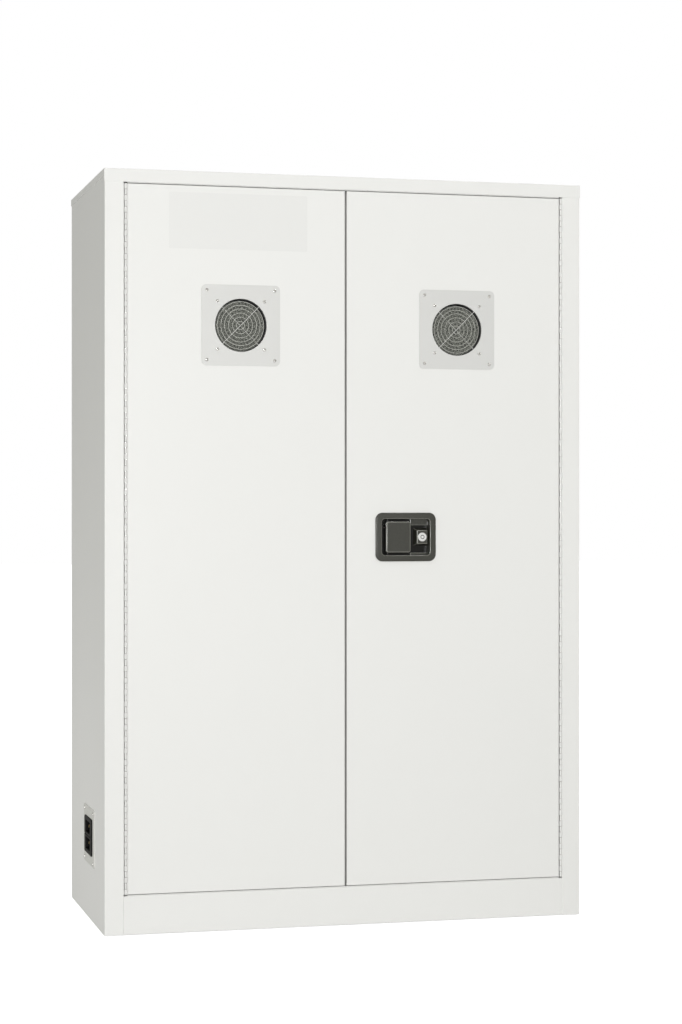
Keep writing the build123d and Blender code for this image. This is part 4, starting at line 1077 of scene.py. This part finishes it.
@dataclass
class Studio:
    """A white studio: floor, soft lamps, even surroundings and the camera."""

    aside: float = -1.284  # the camera, from the cabinet's middle
    away: float = 4.245  # the camera, from the cabinet's front
    eye: float = 0.9125
    yaw: float = -12.53  # degrees
    sensor: float = 36.0
    lens: float = 70.55
    shift: float = 0.14
    clip: float = 100.0
    surround: float = 0.50  # how strongly the surroundings light the cabinet
    surround_tint: Colour = (1.0, 1.0, 0.945)
    floor_reach: float = 30.0
    floor_colour: float = 0.8
    floor_roughness: float = 0.9
    floor_glow: float = 0.88
    lamps: Tuple[Lamp, ...] = (
        Lamp("key", (-1.3, -6.8, 1.2), (0.0, 0.0, 0.85), 1.2, 196.0),
        Lamp("edge_top", (1.2, -2.8, 3.9), (0.1, -0.2, 0.9), 0.3, 16.0),
        Lamp("edge_left", (-4.4, -1.9, 1.0), (0.1, -0.2, 0.9), 0.3, 9.0),
        Lamp("low_left", (-1.5, 0.1, 0.12), (-0.55, 0.0, 0.15), 0.5, 2.2),
    )

    def build(self) -> None:
        """Builds the whole studio."""
        self._camera()
        self._floor()
        self._surroundings()
        for lamp in self.lamps:
            lamp.build()
        bpy.context.scene.view_settings.view_transform = "Standard"

    def _camera(self) -> None:
        """Sets up the camera in front of the cabinet, a little to its left."""
        low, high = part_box("top_cap")
        data = bpy.data.cameras.new("camera")
        data.sensor_width = self.sensor
        data.lens = self.lens
        data.shift_x = self.shift
        data.clip_end = self.clip
        camera = bpy.data.objects.new("camera", data)
        camera.location = ((low.x + high.x) / 2 + self.aside, low.y - self.away, self.eye)
        camera.rotation_euler = (math.radians(90), 0.0, math.radians(self.yaw))
        bpy.context.scene.collection.objects.link(camera)
        bpy.context.scene.camera = camera

    def _floor(self) -> None:
        """Lays a pale floor that shows white and keeps the cabinet's shadow."""
        form = Form()
        reach = self.floor_reach
        square = ((-reach, -reach), (reach, -reach), (reach, reach), (-reach, reach))
        form.mesh.faces.new([form.mesh.verts.new((x, y, 0.0)) for x, y in square])
        data = bpy.data.meshes.new("floor")
        form.mesh.to_mesh(data)
        form.mesh.free()
        floor = bpy.data.objects.new("floor", data)
        bpy.context.scene.collection.objects.link(floor)
        material = bpy.data.materials.new("floor_white")
        material.use_nodes = True
        nodes, links = material.node_tree.nodes, material.node_tree.links
        shader = nodes["Principled BSDF"]
        shader.inputs["Base Color"].default_value = (*[self.floor_colour] * 3, 1.0)
        shader.inputs["Roughness"].default_value = self.floor_roughness
        shader.inputs["Emission Color"].default_value = (1.0, 1.0, 1.0, 1.0)
        shader.inputs["Specular IOR Level"].default_value = 0.0
        seen = nodes.new("ShaderNodeLightPath")
        level = math_node(nodes, "MULTIPLY", self.floor_glow)
        links.new(seen.outputs["Is Camera Ray"], level.inputs[0])
        links.new(level.outputs[0], shader.inputs["Emission Strength"])
        data.materials.append(material)

    def _surroundings(self) -> None:
        """Makes the surroundings white to look at and softer as a light."""
        world = bpy.data.worlds.new("studio")
        bpy.context.scene.world = world
        world.use_nodes = True
        nodes, links = world.node_tree.nodes, world.node_tree.links
        background = nodes["Background"]
        seen = nodes.new("ShaderNodeLightPath")
        through = math_node(nodes, "MAXIMUM")
        links.new(seen.outputs["Is Camera Ray"], through.inputs[0])
        links.new(seen.outputs["Is Transmission Ray"], through.inputs[1])
        level = nodes.new("ShaderNodeMapRange")
        level.inputs["To Min"].default_value = self.surround
        level.inputs["To Max"].default_value = 1.0
        links.new(through.outputs[0], level.inputs["Value"])
        links.new(level.outputs["Result"], background.inputs["Strength"])
        tint = nodes.new("ShaderNodeMix")
        tint.data_type = "RGBA"
        tint.inputs["A"].default_value = (*self.surround_tint, 1.0)
        tint.inputs["B"].default_value = (1.0, 1.0, 1.0, 1.0)
        links.new(through.outputs[0], tint.inputs["Factor"])
        links.new(tint.outputs["Result"], background.inputs["Color"])


# ---------------------------------------------------------------- everything


def joint_places(joints: Iterable[Dict]) -> Dict[str, Vector]:
    """Where each hinge joint is.

    Args:
        joints: the frame's joints.

    Returns:
        The joints' points by name.
    """
    return {joint["name"]: Vector(joint["pos_m"]) for joint in joints if joint.get("pos_m")}


def main() -> None:
    """Loads the frame and dresses the cabinet."""
    logging.basicConfig(level=logging.INFO, format="%(name)s: %(message)s")
    for scene_object in list(bpy.data.objects):
        bpy.data.objects.remove(scene_object)
    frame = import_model()
    shop = PaintShop()
    shop.read(frame["record"])
    shop.dress(frame["nodes"])
    pins = joint_places(frame["joints"])
    for side in Side:
        PianoHinge(side).build(pins[f"{side.value}_door_swing"])
        DoorVent(side).build()
    FoldBeads().build()
    PaddleLatch().build(frame["nodes"])
    BlankLabel().build()
    Studio().build()


if __name__ == "__main__":
    main()
